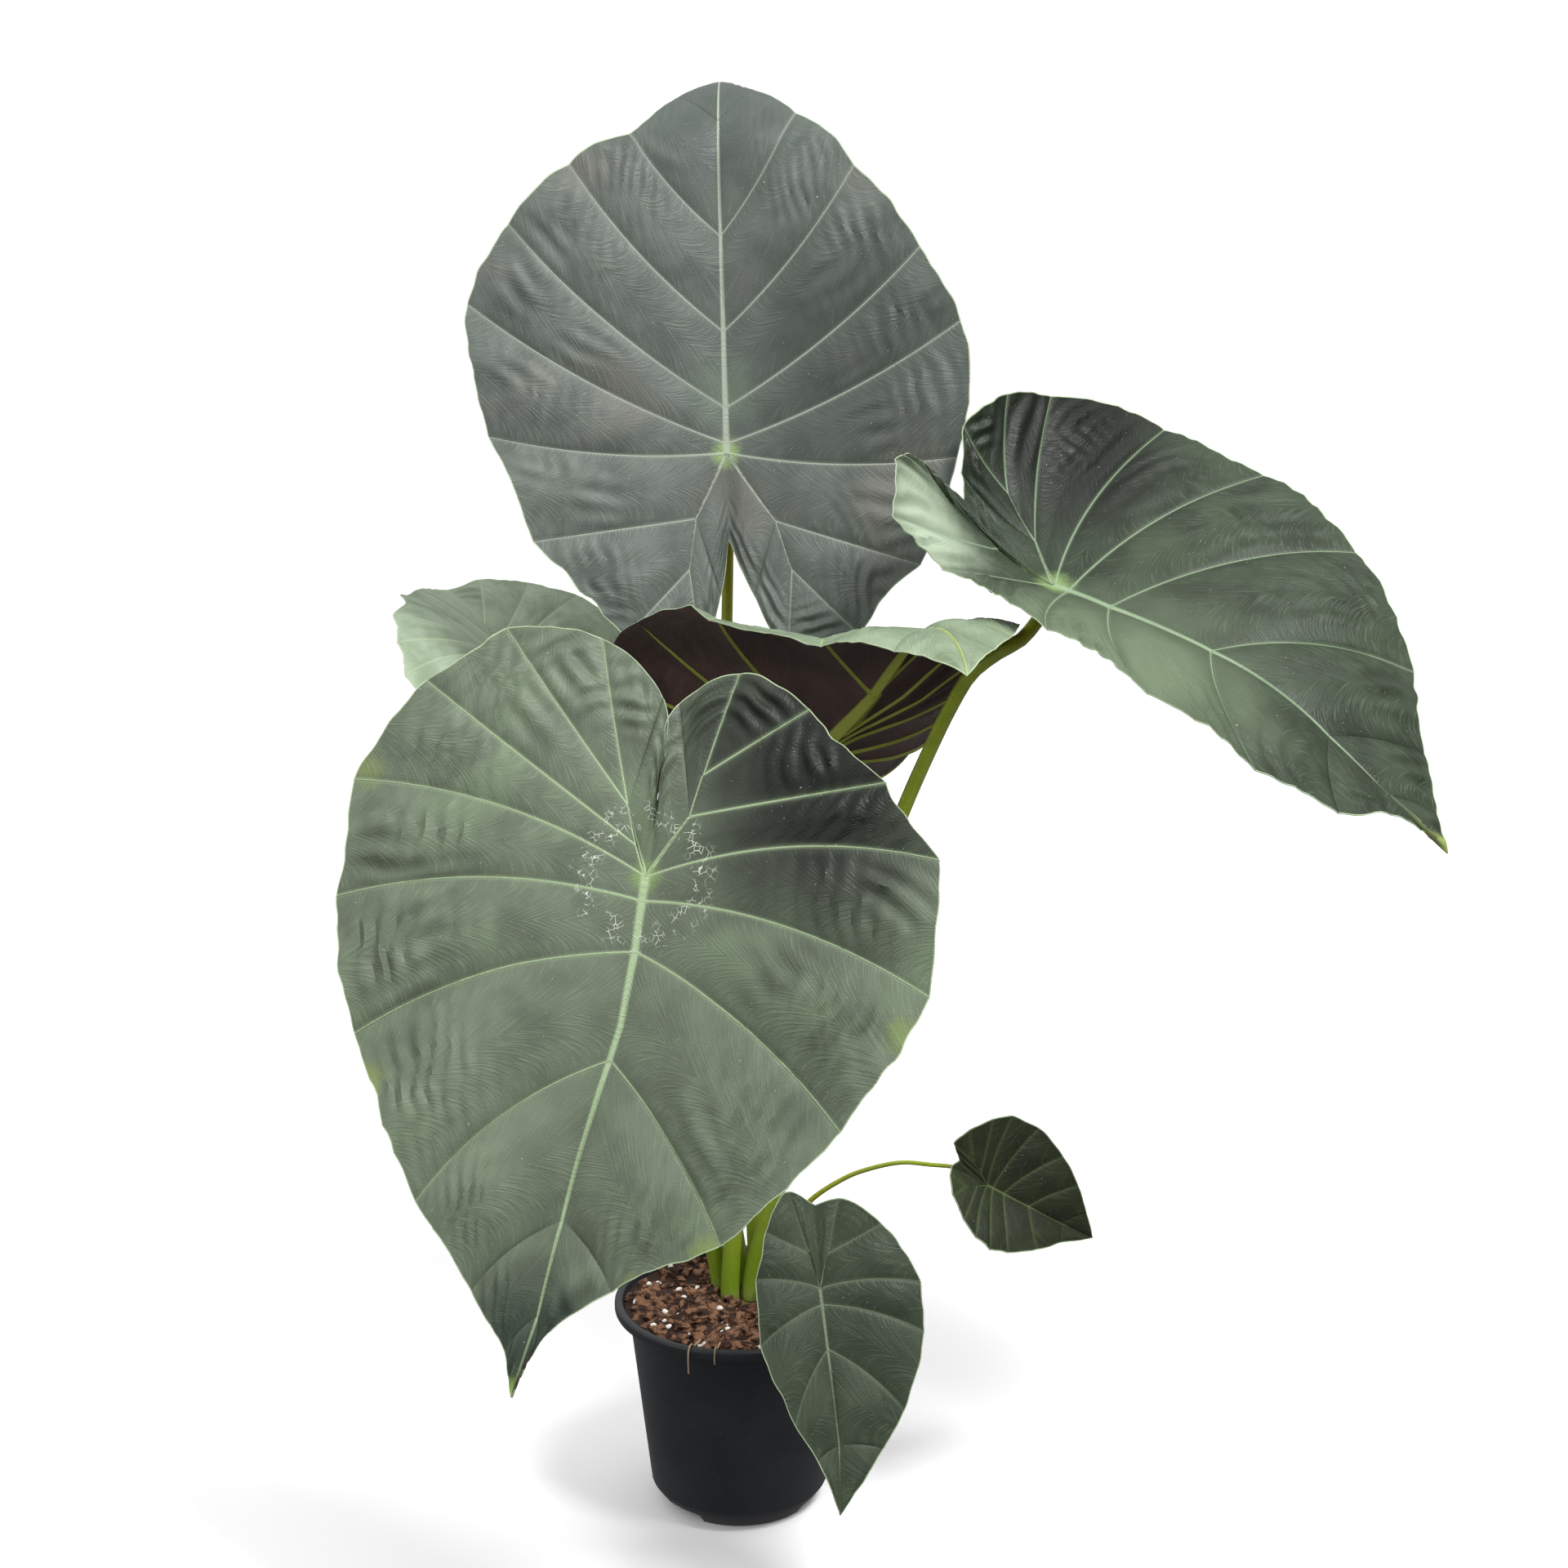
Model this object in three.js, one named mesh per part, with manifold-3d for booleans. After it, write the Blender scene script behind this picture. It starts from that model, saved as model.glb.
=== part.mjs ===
// Potted regal shields alocasia in millimetres. +Z is up and the front of the pot faces -Y.
import * as THREE from 'three';
import Module from 'manifold-3d';

// Pot
const POT_HEIGHT = 143;
const POT_FOOT_RADIUS = 49;
const POT_BASE_RADIUS = 57.5;
const POT_BASE_CHAMFER = 14;
const POT_BODY_TOP_RADIUS = 73;
const POT_RIM_RADIUS = 82.5;
const POT_WALL = 1.8;
const POT_LIP_HEIGHT = 8;
const POT_SIDES = 48;
const NOTCH_COUNT = 3;
const NOTCH_WIDTH_DEG = 40;
const NOTCH_HEIGHT = 8;
const NOTCH_DEPTH = 9;
const NOTCH_REACH = 15;
const FIRST_NOTCH_DEG = -138;

// Potting mix, crown and the clearance between touching pieces
const GAP = 0.3;
const SOIL_LEVEL = 138;
const SOIL_EDGE_RADIUS = POT_RIM_RADIUS - 6;
const CHIP_RELIEF = 2.6;
const CROWN_RADIUS = 23.5;
const CROWN_HEIGHT = 34;
const CROWN_TOP = 136.5;
const CROWN_CENTRE = [1, 21];

// Blades
const BLADE_THICKNESS = 0.9;
const QUILTING = 0.05;
const HUB_RIDGE = 5;
const RIDGE_SPREAD = 12;
const FLATTEST_CURL = 1e-6;
const ACROSS_STEPS = [0, 0.08, 0.5, 0.92, 1];
const OUTWARD_STEPS = [0, 0.06, 0.35, 0.7, 1];

// Leaf stalks
const STALK_SIDES = 10;
const STALK_STEPS = 18;

const radians = THREE.MathUtils.degToRad;
const group = new THREE.Group();

function surface(colour, roughness) {
  return new THREE.MeshStandardMaterial({ color: colour, roughness, metalness: 0 });
}

const LEAF_GREEN = surface('#4f6150', 0.55);
const YOUNG_LEAF_GREEN = surface('#41543f', 0.5);
const STALK_GREEN = surface('#82962b', 0.45);
const POT_PLASTIC = surface('#1f2124', 0.42);
const POTTING_MIX = surface('#4a3626', 0.95);
const CROWN_BROWN = surface('#6b5a34', 0.8);
const ROOT_TAN = surface('#9a8468', 0.8);

// Shared helpers

function addSolid(name, points, triangles, material) {
  const geometry = new THREE.BufferGeometry();
  geometry.setAttribute('position', new THREE.Float32BufferAttribute(points.flat(), 3));
  geometry.setIndex(triangles.flat());
  geometry.computeVertexNormals();
  const mesh = new THREE.Mesh(geometry, material);
  mesh.name = name;
  group.add(mesh);
  return mesh;
}

// Value in 0..1 that depends only on its two whole-number arguments
function seeded(i, j) {
  const s = Math.sin(i * 127.1 + j * 311.7 + 74.7) * 43758.5453;
  return s - Math.floor(s);
}

// Straight-line reading of a table of [position, value, ...] rows
function reading(table, position, column = 1) {
  const last = table.length - 1;
  if (position <= table[0][0]) return table[0][column];
  if (position >= table[last][0]) return table[last][column];
  const k = table.findIndex((row) => row[0] >= position);
  const share = (position - table[k - 1][0]) / (table[k][0] - table[k - 1][0]);
  return table[k - 1][column] + share * (table[k][column] - table[k - 1][column]);
}

// Rings of equal count joined into one closed skin, each end closed at a middle point
function ringSkin(rings, startPoint, endPoint) {
  const count = rings[0].length;
  const points = [startPoint, ...rings.flat(), endPoint];
  const triangles = [];
  const lastRing = 1 + (rings.length - 1) * count;
  for (let k = 0; k < count; k += 1) {
    const next = (k + 1) % count;
    triangles.push([0, 1 + next, 1 + k]);
    triangles.push([points.length - 1, lastRing + k, lastRing + next]);
    for (let r = 0; r < rings.length - 1; r += 1) {
      const low = 1 + r * count;
      const high = low + count;
      triangles.push([low + k, low + next, high + next]);
      triangles.push([low + k, high + next, high + k]);
    }
  }
  return { points, triangles };
}

// Circle of points at radius and height, its radius and height varied by a function of the angle
function circle(radius, height, sides, lift = () => 0) {
  return Array.from({ length: sides }, (_, k) => {
    const angle = (2 * Math.PI * k) / sides;
    return [radius * Math.cos(angle), radius * Math.sin(angle), height + lift(k)];
  });
}

// Leaf blades. A blade is drawn flat, with its stalk at 0,0 and its tip along +y, and is then bent.
// A vein is [x and y where it leaves the midrib or lobe rib, x and y at the margin, ridge height].
// Each half lists its veins from the tip round to the notch between the lobes.

const TOP_LEAF = {
  tip: [0, 288],
  notch: [0, -56],
  right: [
    [0, 215, 24, 256, 0.3],
    [0, 139, 50, 222, 1],
    [0, 78, 87, 181, 1.6],
    [0, 29, 128, 128, 2],
    [0, 6, 153, 80, 2.2],
    [0, 0, 149, -8, 2.2],
    [31, -45, 124, -77, 1.6],
    [41, -77, 84, -121, 1.4],
    [41, -77, 38, -129, 1],
    [31, -45, 16, -93, 0.3],
  ],
  left: [
    [0, 215, -28, 250, 0.3],
    [0, 139, -57, 207, 1],
    [0, 78, -96, 187, 1.6],
    [0, 29, -136, 150, 2],
    [0, 6, -164, 100, 2.2],
    [0, 0, -153, 14, 2.2],
    [-21, -42, -126, -55, 1.6],
    [-26, -75, -68, -118, 1.4],
    [-26, -75, -20, -127, 1],
    [-21, -42, -6, -92, 0.3],
  ],
  at: [-7, 96, 692],
  face: [-2, 15, -2],
  arch: [[-150, -6], [0, 0], [120, 4], [190, -4], [245, -50], [285, -110]],
  cup: [[-150, 12, 12], [0, 10, 10], [200, 6, 6], [245, -10, -12], [270, -14, -16]],
  curl: [[0, -6, -6]],
};

const FRONT_LEAF = {
  tip: [4, 306],
  notch: [4, -37],
  right: [
    [0, 256, 14, 281, 0.2],
    [0, 200, 41, 252, 0.3],
    [0, 106, 84, 212, 1.2],
    [0, 43, 144, 128, 1.8],
    [0, 14, 176, 54, 2.2],
    [0, 0, 184, -14, 2.2],
    [10, -16, 158, -79, 2],
    [21, -37, 121, -120, 1.6],
    [21, -37, 64, -128, 1.2],
    [21, -37, 19, -103, 0.3],
  ],
  left: [
    [0, 256, -2, 280, 0.2],
    [0, 200, -42, 231, 0.3],
    [0, 106, -98, 190, 1.2],
    [0, 43, -150, 112, 1.8],
    [0, 14, -181, 28, 2.2],
    [0, 0, -168, -46, 2.2],
    [-17, -39, -127, -81, 1.8],
    [-18, -64, -71, -113, 1.4],
    [-18, -64, -22, -127, 1.2],
    [-17, -39, 9, -103, 0.3],
  ],
  at: [-49, -200, 501],
  face: [-14, 25, 189],
  arch: [[-150, 12], [0, 0], [200, -5], [330, -10]],
  cup: [[-150, 10, 14], [0, 8, 12], [300, 6, 8]],
  curl: [[0, -5, -8]],
};

const RIGHT_LEAF = {
  tip: [-5, 300],
  notch: [-10, -84],
  right: [
    [0, 250, -1, 279, 0.2],
    [0, 200, 52, 236, 0.3],
    [0, 112, 88, 186, 1],
    [0, 40, 100, 118, 1.4],
    [0, 10, 84, 42, 1.6],
    [0, 0, 78, -50, 1.8],
    [-4, -45, 92, -112, 1.4],
    [0, -88, 50, -140, 1.2],
    [0, -88, 14, -125, 1],
    [-4, -45, -3, -100, 0.3],
  ],
  left: [
    [0, 250, -21, 279, 0.2],
    [0, 200, -49, 249, 0.3],
    [0, 112, -95, 210, 1.2],
    [0, 40, -147, 132, 1.8],
    [0, 10, -174, 50, 2.2],
    [0, 0, -174, -30, 2.2],
    [-26, -32, -118, -106, 1.8],
    [-41, -69, -83, -126, 1.4],
    [-41, -69, -38, -124, 1.2],
    [-26, -32, -20, -99, 0.3],
  ],
  at: [198, 0, 626],
  face: [0, 70, 126],
  arch: [[-150, -78], [0, 0], [100, -4], [200, -30], [300, -36]],
  cup: [[-150, 16, 8], [0, 16, 8], [200, 6, 2]],
  curl: [[0, 12, -2]],
};

// The middle leaf turns its underside to the front and its tip is folded over forwards
const MIDDLE_LEAF = {
  tip: [0, 248],
  notch: [0, -33],
  right: [
    [0, 168, 35, 203, 0.3],
    [0, 84, 71, 157, 1.2],
    [0, 16, 120, 104, 1.8],
    [0, 5, 148, 36, 2.2],
    [0, 0, 150, -28, 2.2],
    [13, -25, 106, -62, 1.8],
    [25, -49, 74, -93, 1.4],
    [25, -49, 36, -103, 1.2],
    [13, -25, 10, -72, 0.3],
  ],
  left: [
    [0, 168, -26, 210, 0.3],
    [0, 84, -42, 191, 1],
    [0, 16, -58, 166, 1.4],
    [0, 5, -66, 130, 1.8],
    [0, 0, -68, 92, 2],
    [0, 0, -98, 42, 2.2],
    [0, 0, -128, -26, 2.2],
    [-13, -25, -106, -62, 1.8],
    [-25, -49, -74, -93, 1.4],
    [-25, -49, -36, -103, 1.2],
    [-13, -25, -10, -72, 0.3],
  ],
  at: [52, 38, 504],
  face: [177, 41, -26],
  arch: [[-123, -40], [0, 0], [50, -5], [100, 8], [140, 3], [180, -43], [246, -70]],
  cup: [[-123, 5, 0], [0, 22, 0], [90, 13, -5], [150, -17, 33], [246, -32, 1]],
  curl: [[0, -5, 58], [90, -4, 76], [150, -14, -40], [180, -19, -30]],
};

// The back leaf's lobes are joined nearly to their ends
const BACK_LEAF = {
  tip: [0, 184],
  notch: [-1, -91],
  right: [
    [0, 125, 26, 151, 0.2],
    [0, 68, 53, 117, 1],
    [0, 29, 85, 70, 1.4],
    [0, 10, 104, 26, 1.8],
    [0, 0, 98, -20, 1.8],
    [10, -18, 79, -46, 1.4],
    [18, -37, 55, -69, 1.1],
    [18, -37, 27, -77, 1],
    [10, -18, 12, -90, 0.2],
  ],
  left: [
    [0, 125, -26, 151, 0.2],
    [0, 68, -53, 117, 1],
    [0, 29, -85, 70, 1.4],
    [0, 10, -104, 26, 1.8],
    [0, 0, -98, -20, 1.8],
    [-10, -18, -79, -46, 1.4],
    [-18, -37, -55, -69, 1.1],
    [-18, -37, -27, -77, 1],
    [-10, -18, -14, -90, 0.2],
  ],
  at: [-158, 165, 533],
  face: [81, 50, 197],
  arch: [[-90, 22], [0, 0], [61, -5], [122, -15], [183, -25]],
  cup: [[-90, 7, 18], [0, 7, 18], [122, 10, 10]],
  curl: [[0, -39, 16]],
};

const LOW_FRONT_LEAF = {
  tip: [4, 138],
  notch: [-4, -51],
  right: [
    [0, 95, 15, 102, 0.2],
    [0, 37, 26, 80, 0.8],
    [0, 10, 42, 30, 1],
    [0, 0, 40, -10, 1.2],
    [3, -21, 30, -38, 0.9],
    [3, -21, 12, -61, 0.7],
  ],
  left: [
    [0, 95, -27, 100, 0.2],
    [0, 37, -42, 79, 0.8],
    [0, 10, -60, 34, 1],
    [0, 0, -62, 4, 1.2],
    [-7, -20, -43, -34, 0.9],
    [-7, -20, -19, -53, 0.7],
  ],
  at: [52, -150, 220],
  face: [8, 26, 176],
  arch: [[-60, 4], [0, 0], [60, -4], [150, -14]],
  cup: [[-60, 10, 10], [0, 10, 10], [100, 8, 8]],
  curl: [[0, -8, -8]],
};

const LOW_RIGHT_LEAF = {
  tip: [-1, 91],
  notch: [-6, -29],
  right: [
    [0, 61, 12, 65, 0.2],
    [0, 34, 24, 48, 0.7],
    [0, 14, 37, 28, 1.1],
    [0, 5, 44, 8, 1.3],
    [0, 0, 42, -9, 1.3],
    [5, -9, 34, -21, 1],
    [9, -18, 20, -32, 0.8],
    [9, -18, 7, -34, 0.7],
    [5, -9, -1, -32, 0.2],
  ],
  left: [
    [0, 61, -14, 74, 0.2],
    [0, 34, -27, 57, 0.7],
    [0, 14, -39, 38, 1.1],
    [0, 5, -48, 14, 1.3],
    [0, 0, -47, -8, 1.3],
    [-5, -9, -39, -21, 1],
    [-9, -18, -26, -34, 0.8],
    [-9, -18, -14, -40, 0.7],
    [-5, -9, -10, -35, 0.2],
  ],
  at: [160, -50, 245],
  face: [28, 6, 124],
  arch: [[-45, -8], [0, 0], [30, 14], [60, 0], [90, -8]],
  cup: [[-45, 40, 5], [0, 40, 5], [60, 18, 12]],
  curl: [[0, -8, -10]],
};

// Axes of a blade at its stalk: azimuth and rise of its upper face, and the clock angle of its tip
function bladeAxes([azimuth, rise, clock]) {
  const a = radians(azimuth);
  const e = radians(rise);
  const c = radians(clock);
  const out = new THREE.Vector3(Math.cos(e) * Math.sin(a), -Math.cos(e) * Math.cos(a), Math.sin(e));
  const up = new THREE.Vector3(0, 0, 1).addScaledVector(out, -out.z).normalize();
  const across = up.clone().cross(out);
  const along = up.multiplyScalar(Math.cos(c)).addScaledVector(across, Math.sin(c));
  return { x: along.clone().cross(out), y: along, z: out };
}

// Position and slope of the midrib, y millimetres from the stalk, for a table of slopes
function archPoint(arch, y) {
  const steps = 24;
  const stride = y / steps;
  let along = 0;
  let lift = 0;
  for (let k = 0; k < steps; k += 1) {
    const slope = radians((reading(arch, k * stride) + reading(arch, (k + 1) * stride)) / 2);
    along += Math.cos(slope) * stride;
    lift += Math.sin(slope) * stride;
  }
  return { along, lift, slope: radians(reading(arch, y)) };
}

// A point of the flat blade, z above its upper face, carried to its place on the plant
function bent(leaf, axes, x, y, z) {
  const side = x >= 0 ? 1 : -1;
  const column = side > 0 ? 1 : 2;
  const start = radians(reading(leaf.cup, y, column));
  const bendRate = radians(reading(leaf.curl, y, column)) / 100 || FLATTEST_CURL;
  const reach = Math.abs(x);
  const end = start + bendRate * reach;
  const sideways = (Math.sin(end) - Math.sin(start)) / bendRate;
  const raised = (Math.cos(start) - Math.cos(end)) / bendRate;
  const tilt = end * Math.min(1, reach / RIDGE_SPREAD);
  const across = side * (sideways - z * Math.sin(tilt));
  const above = raised + z * Math.cos(tilt);
  const { along, lift, slope } = archPoint(leaf.arch, y);
  return new THREE.Vector3(...leaf.at)
    .addScaledVector(axes.x, across)
    .addScaledVector(axes.y, along - above * Math.sin(slope))
    .addScaledVector(axes.z, lift + above * Math.cos(slope))
    .toArray();
}

function mix(a, b, share) {
  return [a[0] + (b[0] - a[0]) * share, a[1] + (b[1] - a[1]) * share];
}

// Smooth curve through the points of a margin, from point k to the next
function marginPoint(margin, k, share) {
  const before = margin[Math.max(k - 1, 0)];
  const a = margin[k];
  const b = margin[k + 1];
  const after = margin[Math.min(k + 2, margin.length - 1)];
  const s2 = share * share;
  const s3 = s2 * share;
  return [0, 1].map((i) => {
    const leaving = (b[i] - before[i]) / 2;
    const arriving = (after[i] - a[i]) / 2;
    return (2 * s3 - 3 * s2 + 1) * a[i] + (s3 - 2 * s2 + share) * leaving
      + (3 * s2 - 2 * s3) * b[i] + (s3 - s2) * arriving;
  });
}

// Height of the ridge under the midrib or lobe rib at a point of it
function spineRidge(leaf, [x, y]) {
  const limit = y >= 0 ? leaf.tip[1] : Math.abs(leaf.tip[1]) * 0.6;
  return HUB_RIDGE * (1 - 0.9 * Math.min(1, Math.hypot(x, y) / limit));
}

// One half of a blade as a list of four-sided fields between neighbouring veins
function bladeFields(leaf, half) {
  const veins = [
    { root: leaf.tip, end: leaf.tip, height: 0 },
    ...half.map(([x0, y0, x1, y1, height]) => ({ root: [x0, y0], end: [x1, y1], height })),
    { root: [0, 0], end: leaf.notch, height: 0.3 },
  ];
  const margin = veins.map((vein) => vein.end);
  return veins.slice(0, -1).map((vein, k) => ({ vein, next: veins[k + 1], margin, k }));
}

// Flat position inside a field: share 0..1 from one vein to the next, out 0..1 from rib to margin
function fieldPoint({ vein, next, margin, k }, share, out) {
  const inner = mix(vein.root, next.root, share);
  const outer = marginPoint(margin, k, share);
  const first = mix(vein.root, vein.end, out);
  const second = mix(next.root, next.end, out);
  const corners = mix(mix(vein.root, next.root, share), mix(vein.end, next.end, share), out);
  return [0, 1].map((i) => mix(inner, outer, out)[i] + mix(first, second, share)[i] - corners[i]);
}

function bladeSolid(name, leaf, material) {
  const axes = bladeAxes(leaf.face);
  const upper = [];
  const lower = [];
  const known = new Map();
  const skin = [];
  const edges = new Map();

  function vertex(field, share, out) {
    const flat = fieldPoint(field, share, out);
    const key = flat.map((value) => value.toFixed(3)).join(' ');
    if (known.has(key)) return known.get(key);
    const { vein, next } = field;
    const nearA = mix(vein.root, vein.end, out);
    const nearB = mix(next.root, next.end, out);
    const width = Math.hypot(nearB[0] - nearA[0], nearB[1] - nearA[1]);
    const rise = QUILTING * width * Math.sin(Math.PI * share) * Math.sqrt(out);
    let ridge = 0;
    if (share === 0) ridge = vein.height * (1 - 0.85 * out);
    if (share === 1) ridge = next.height * (1 - 0.85 * out);
    if (out === 0) ridge = spineRidge(leaf, flat);
    known.set(key, upper.length);
    upper.push(bent(leaf, axes, flat[0], flat[1], rise));
    lower.push(bent(leaf, axes, flat[0], flat[1], rise - BLADE_THICKNESS - ridge));
    return known.get(key);
  }

  function facet(a, b, c) {
    if (a === b || b === c || c === a) return;
    skin.push([a, b, c]);
    [[a, b], [b, c], [c, a]].forEach(([from, to]) => {
      const back = `${to} ${from}`;
      if (edges.has(back)) edges.delete(back);
      else edges.set(`${from} ${to}`, [from, to]);
    });
  }

  [['right', 1], ['left', -1]].forEach(([halfName, side]) => {
    bladeFields(leaf, leaf[halfName]).forEach((field) => {
      for (let i = 0; i < ACROSS_STEPS.length - 1; i += 1) {
        for (let j = 0; j < OUTWARD_STEPS.length - 1; j += 1) {
          const [s0, s1] = [ACROSS_STEPS[i], ACROSS_STEPS[i + 1]];
          const [o0, o1] = [OUTWARD_STEPS[j], OUTWARD_STEPS[j + 1]];
          const a = vertex(field, s0, o0);
          const b = vertex(field, s0, o1);
          const c = vertex(field, s1, o1);
          const d = vertex(field, s1, o0);
          if (side > 0) {
            facet(a, c, b);
            facet(a, d, c);
          } else {
            facet(a, b, c);
            facet(a, c, d);
          }
        }
      }
    });
  });

  const count = upper.length;
  const triangles = [...skin];
  skin.forEach(([a, b, c]) => triangles.push([a + count, c + count, b + count]));
  edges.forEach(([from, to]) => {
    triangles.push([from, from + count, to + count]);
    triangles.push([from, to + count, to]);
  });
  return addSolid(name, [...upper, ...lower], triangles, material);
}

// Leaf stalks: round, thick at the base and tapering to the blade, which each meets from below.
// A route is the points of the stalk's middle line, and arrival is the way it comes up to the blade.

function stalkSolid(name, leaf, route, arrival, baseRadius, topRadius) {
  const axes = bladeAxes(leaf.face);
  const join = new THREE.Vector3(...bent(leaf, axes, 0, 0, -BLADE_THICKNESS - HUB_RIDGE - GAP));
  const lead = [1, 0.4].map((share) => join.clone().addScaledVector(new THREE.Vector3(...arrival), share));
  const stops = [...route.map((point) => new THREE.Vector3(...point)), ...lead, join];
  const curve = new THREE.CatmullRomCurve3(stops, false, 'centripetal');
  const frames = curve.computeFrenetFrames(STALK_STEPS, false);
  const rings = [];
  for (let k = 0; k <= STALK_STEPS; k += 1) {
    const share = k / STALK_STEPS;
    const middle = curve.getPointAt(share);
    const radius = topRadius + (baseRadius - topRadius) * (1 - share) ** 1.6;
    const ring = [];
    for (let s = 0; s < STALK_SIDES; s += 1) {
      const angle = (2 * Math.PI * s) / STALK_SIDES;
      const point = middle.clone()
        .addScaledVector(frames.normals[k], radius * Math.cos(angle))
        .addScaledVector(frames.binormals[k], radius * Math.sin(angle));
      if (k === 0) point.z = stops[0].z;
      if (k === STALK_STEPS) {
        const tangent = frames.tangents[k];
        const above = point.clone().sub(join).dot(axes.z) / tangent.dot(axes.z);
        point.addScaledVector(tangent, -above);
      }
      ring.push(point.toArray());
    }
    rings.push(ring);
  }
  const skin = ringSkin(rings, stops[0].toArray(), join.toArray());
  return addSolid(name, skin.points, skin.triangles, STALK_GREEN);
}

const STALK_FOOT = CROWN_TOP + GAP;

bladeSolid('top_leaf_blade', TOP_LEAF, LEAF_GREEN);
stalkSolid('top_leaf_stalk', TOP_LEAF,
  [[12.4, 24.7, STALK_FOOT], [12, 26, 155], [8, 40, 225], [-7, 96, 350], [-9, 126, 500]],
  [0, 32, -52], 6.4, 3.6);

bladeSolid('front_leaf_blade', FRONT_LEAF, LEAF_GREEN);
stalkSolid('front_leaf_stalk', FRONT_LEAF,
  [[-12.5, 25.5, STALK_FOOT], [-13.6, 25, 150], [-22, 16, 195], [-38, -40, 330], [-45, -108, 440]],
  [13, 50, -26], 6.4, 3.8);

bladeSolid('right_leaf_blade', RIGHT_LEAF, LEAF_GREEN);
stalkSolid('right_leaf_stalk', RIGHT_LEAF,
  [[7.8, 11.7, STALK_FOOT], [9.4, 10.8, 155], [24, 2, 215], [68, -18, 380], [104, -26, 487],
    [121, -30, 530], [134, -35, 560], [145, -39, 580], [159, -40, 592], [176, -32, 600],
    [190, -14, 611]],
  [0, 4, -13], 6.4, 4.4);

bladeSolid('middle_leaf_blade', MIDDLE_LEAF, LEAF_GREEN);
stalkSolid('middle_leaf_stalk', MIDDLE_LEAF,
  [[-6, 11.3, STALK_FOOT], [-5.6, 10.8, 155], [1, 6, 225], [28, -8, 350]],
  [-8, -30, -52], 6.4, 4);

bladeSolid('back_leaf_blade', BACK_LEAF, LEAF_GREEN);
stalkSolid('back_leaf_stalk', BACK_LEAF,
  [[0.5, 33.5, STALK_FOOT], [-0.5, 35, 155], [-14, 46, 215], [-80, 96, 340], [-138, 146, 430]],
  [-10, 4, -46], 6.4, 3.2);

bladeSolid('low_front_leaf_blade', LOW_FRONT_LEAF, YOUNG_LEAF_GREEN);
stalkSolid('low_front_leaf_stalk', LOW_FRONT_LEAF,
  [[17, 8, STALK_FOOT], [17.6, 5, 150], [26, -40, 185], [42, -90, 206]],
  [-6, 30, -8], 2.4, 1.7);

bladeSolid('low_right_leaf_blade', LOW_RIGHT_LEAF, YOUNG_LEAF_GREEN);
stalkSolid('low_right_leaf_stalk', LOW_RIGHT_LEAF,
  [[20, 15, STALK_FOOT], [22, 14, 150], [42, 2, 205], [69, -12, 233], [88, -22, 245], [107, -32, 253],
    [124, -38, 254], [140, -40, 253]],
  [-9, 12, 0], 2.2, 1.4);

// Pot: thin moulded wall with a rolled rim, and drainage notches cut in its bottom edge

function wallRadius(height) {
  const share = height / (POT_HEIGHT - POT_LIP_HEIGHT);
  return POT_BASE_RADIUS + (POT_BODY_TOP_RADIUS - POT_BASE_RADIUS) * share;
}

function merged({ points, triangles }) {
  return {
    numProp: 3,
    vertProperties: new Float32Array(points.flat()),
    triVerts: new Uint32Array(triangles.flat()),
  };
}

const wasm = await Module();
wasm.setup();

function potSolid() {
  const lipFoot = POT_HEIGHT - POT_LIP_HEIGHT;
  const profile = [
    [POT_FOOT_RADIUS, 0],
    [wallRadius(POT_BASE_CHAMFER), POT_BASE_CHAMFER],
    [POT_BODY_TOP_RADIUS, lipFoot],
    [POT_RIM_RADIUS - 1.5, lipFoot + 1],
    [POT_RIM_RADIUS, lipFoot + 3],
    [POT_RIM_RADIUS, POT_HEIGHT - 2],
    [POT_RIM_RADIUS - 2, POT_HEIGHT],
    [POT_RIM_RADIUS - 4, POT_HEIGHT],
    [SOIL_EDGE_RADIUS, SOIL_LEVEL + 0.5],
    [wallRadius(lipFoot) - POT_WALL, lipFoot - 3],
    [wallRadius(POT_BASE_CHAMFER) - POT_WALL, POT_BASE_CHAMFER],
    [POT_FOOT_RADIUS - POT_WALL, POT_WALL],
  ];
  const rings = profile.map(([radius, height]) => circle(radius, height, POT_SIDES));
  const skin = ringSkin(rings, [0, 0, 0], [0, 0, POT_WALL]);
  let pot = new wasm.Manifold(new wasm.Mesh(merged(skin)));
  for (let k = 0; k < NOTCH_COUNT; k += 1) {
    const middle = FIRST_NOTCH_DEG + (360 * k) / NOTCH_COUNT;
    const corners = [
      [-1, -NOTCH_DEPTH],
      [-1, NOTCH_REACH],
      [1, NOTCH_REACH],
      [1, -NOTCH_DEPTH],
    ].map(([side, offset]) => {
      const angle = radians(middle + (side * NOTCH_WIDTH_DEG) / 2);
      const radius = POT_FOOT_RADIUS + offset;
      return [radius * Math.cos(angle), radius * Math.sin(angle)];
    });
    const low = corners.map(([x, y]) => [x, y, -2]);
    const high = corners.map(([x, y]) => [x, y, NOTCH_HEIGHT]);
    const centre = [
      corners.reduce((sum, p) => sum + p[0] / 4, 0),
      corners.reduce((sum, p) => sum + p[1] / 4, 0),
    ];
    const cutter = ringSkin([low, high], [...centre, -2], [...centre, NOTCH_HEIGHT]);
    pot = pot.subtract(new wasm.Manifold(new wasm.Mesh(merged(cutter))));
  }
  const mesh = pot.getMesh();
  const points = [];
  for (let k = 0; k < mesh.vertProperties.length; k += mesh.numProp) {
    points.push(Array.from(mesh.vertProperties.slice(k, k + 3)));
  }
  return addSolid('pot', points, Array.from(mesh.triVerts), POT_PLASTIC);
}

function overCrown([x, y, z]) {
  return [x + CROWN_CENTRE[0], y + CROWN_CENTRE[1], z];
}

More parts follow.
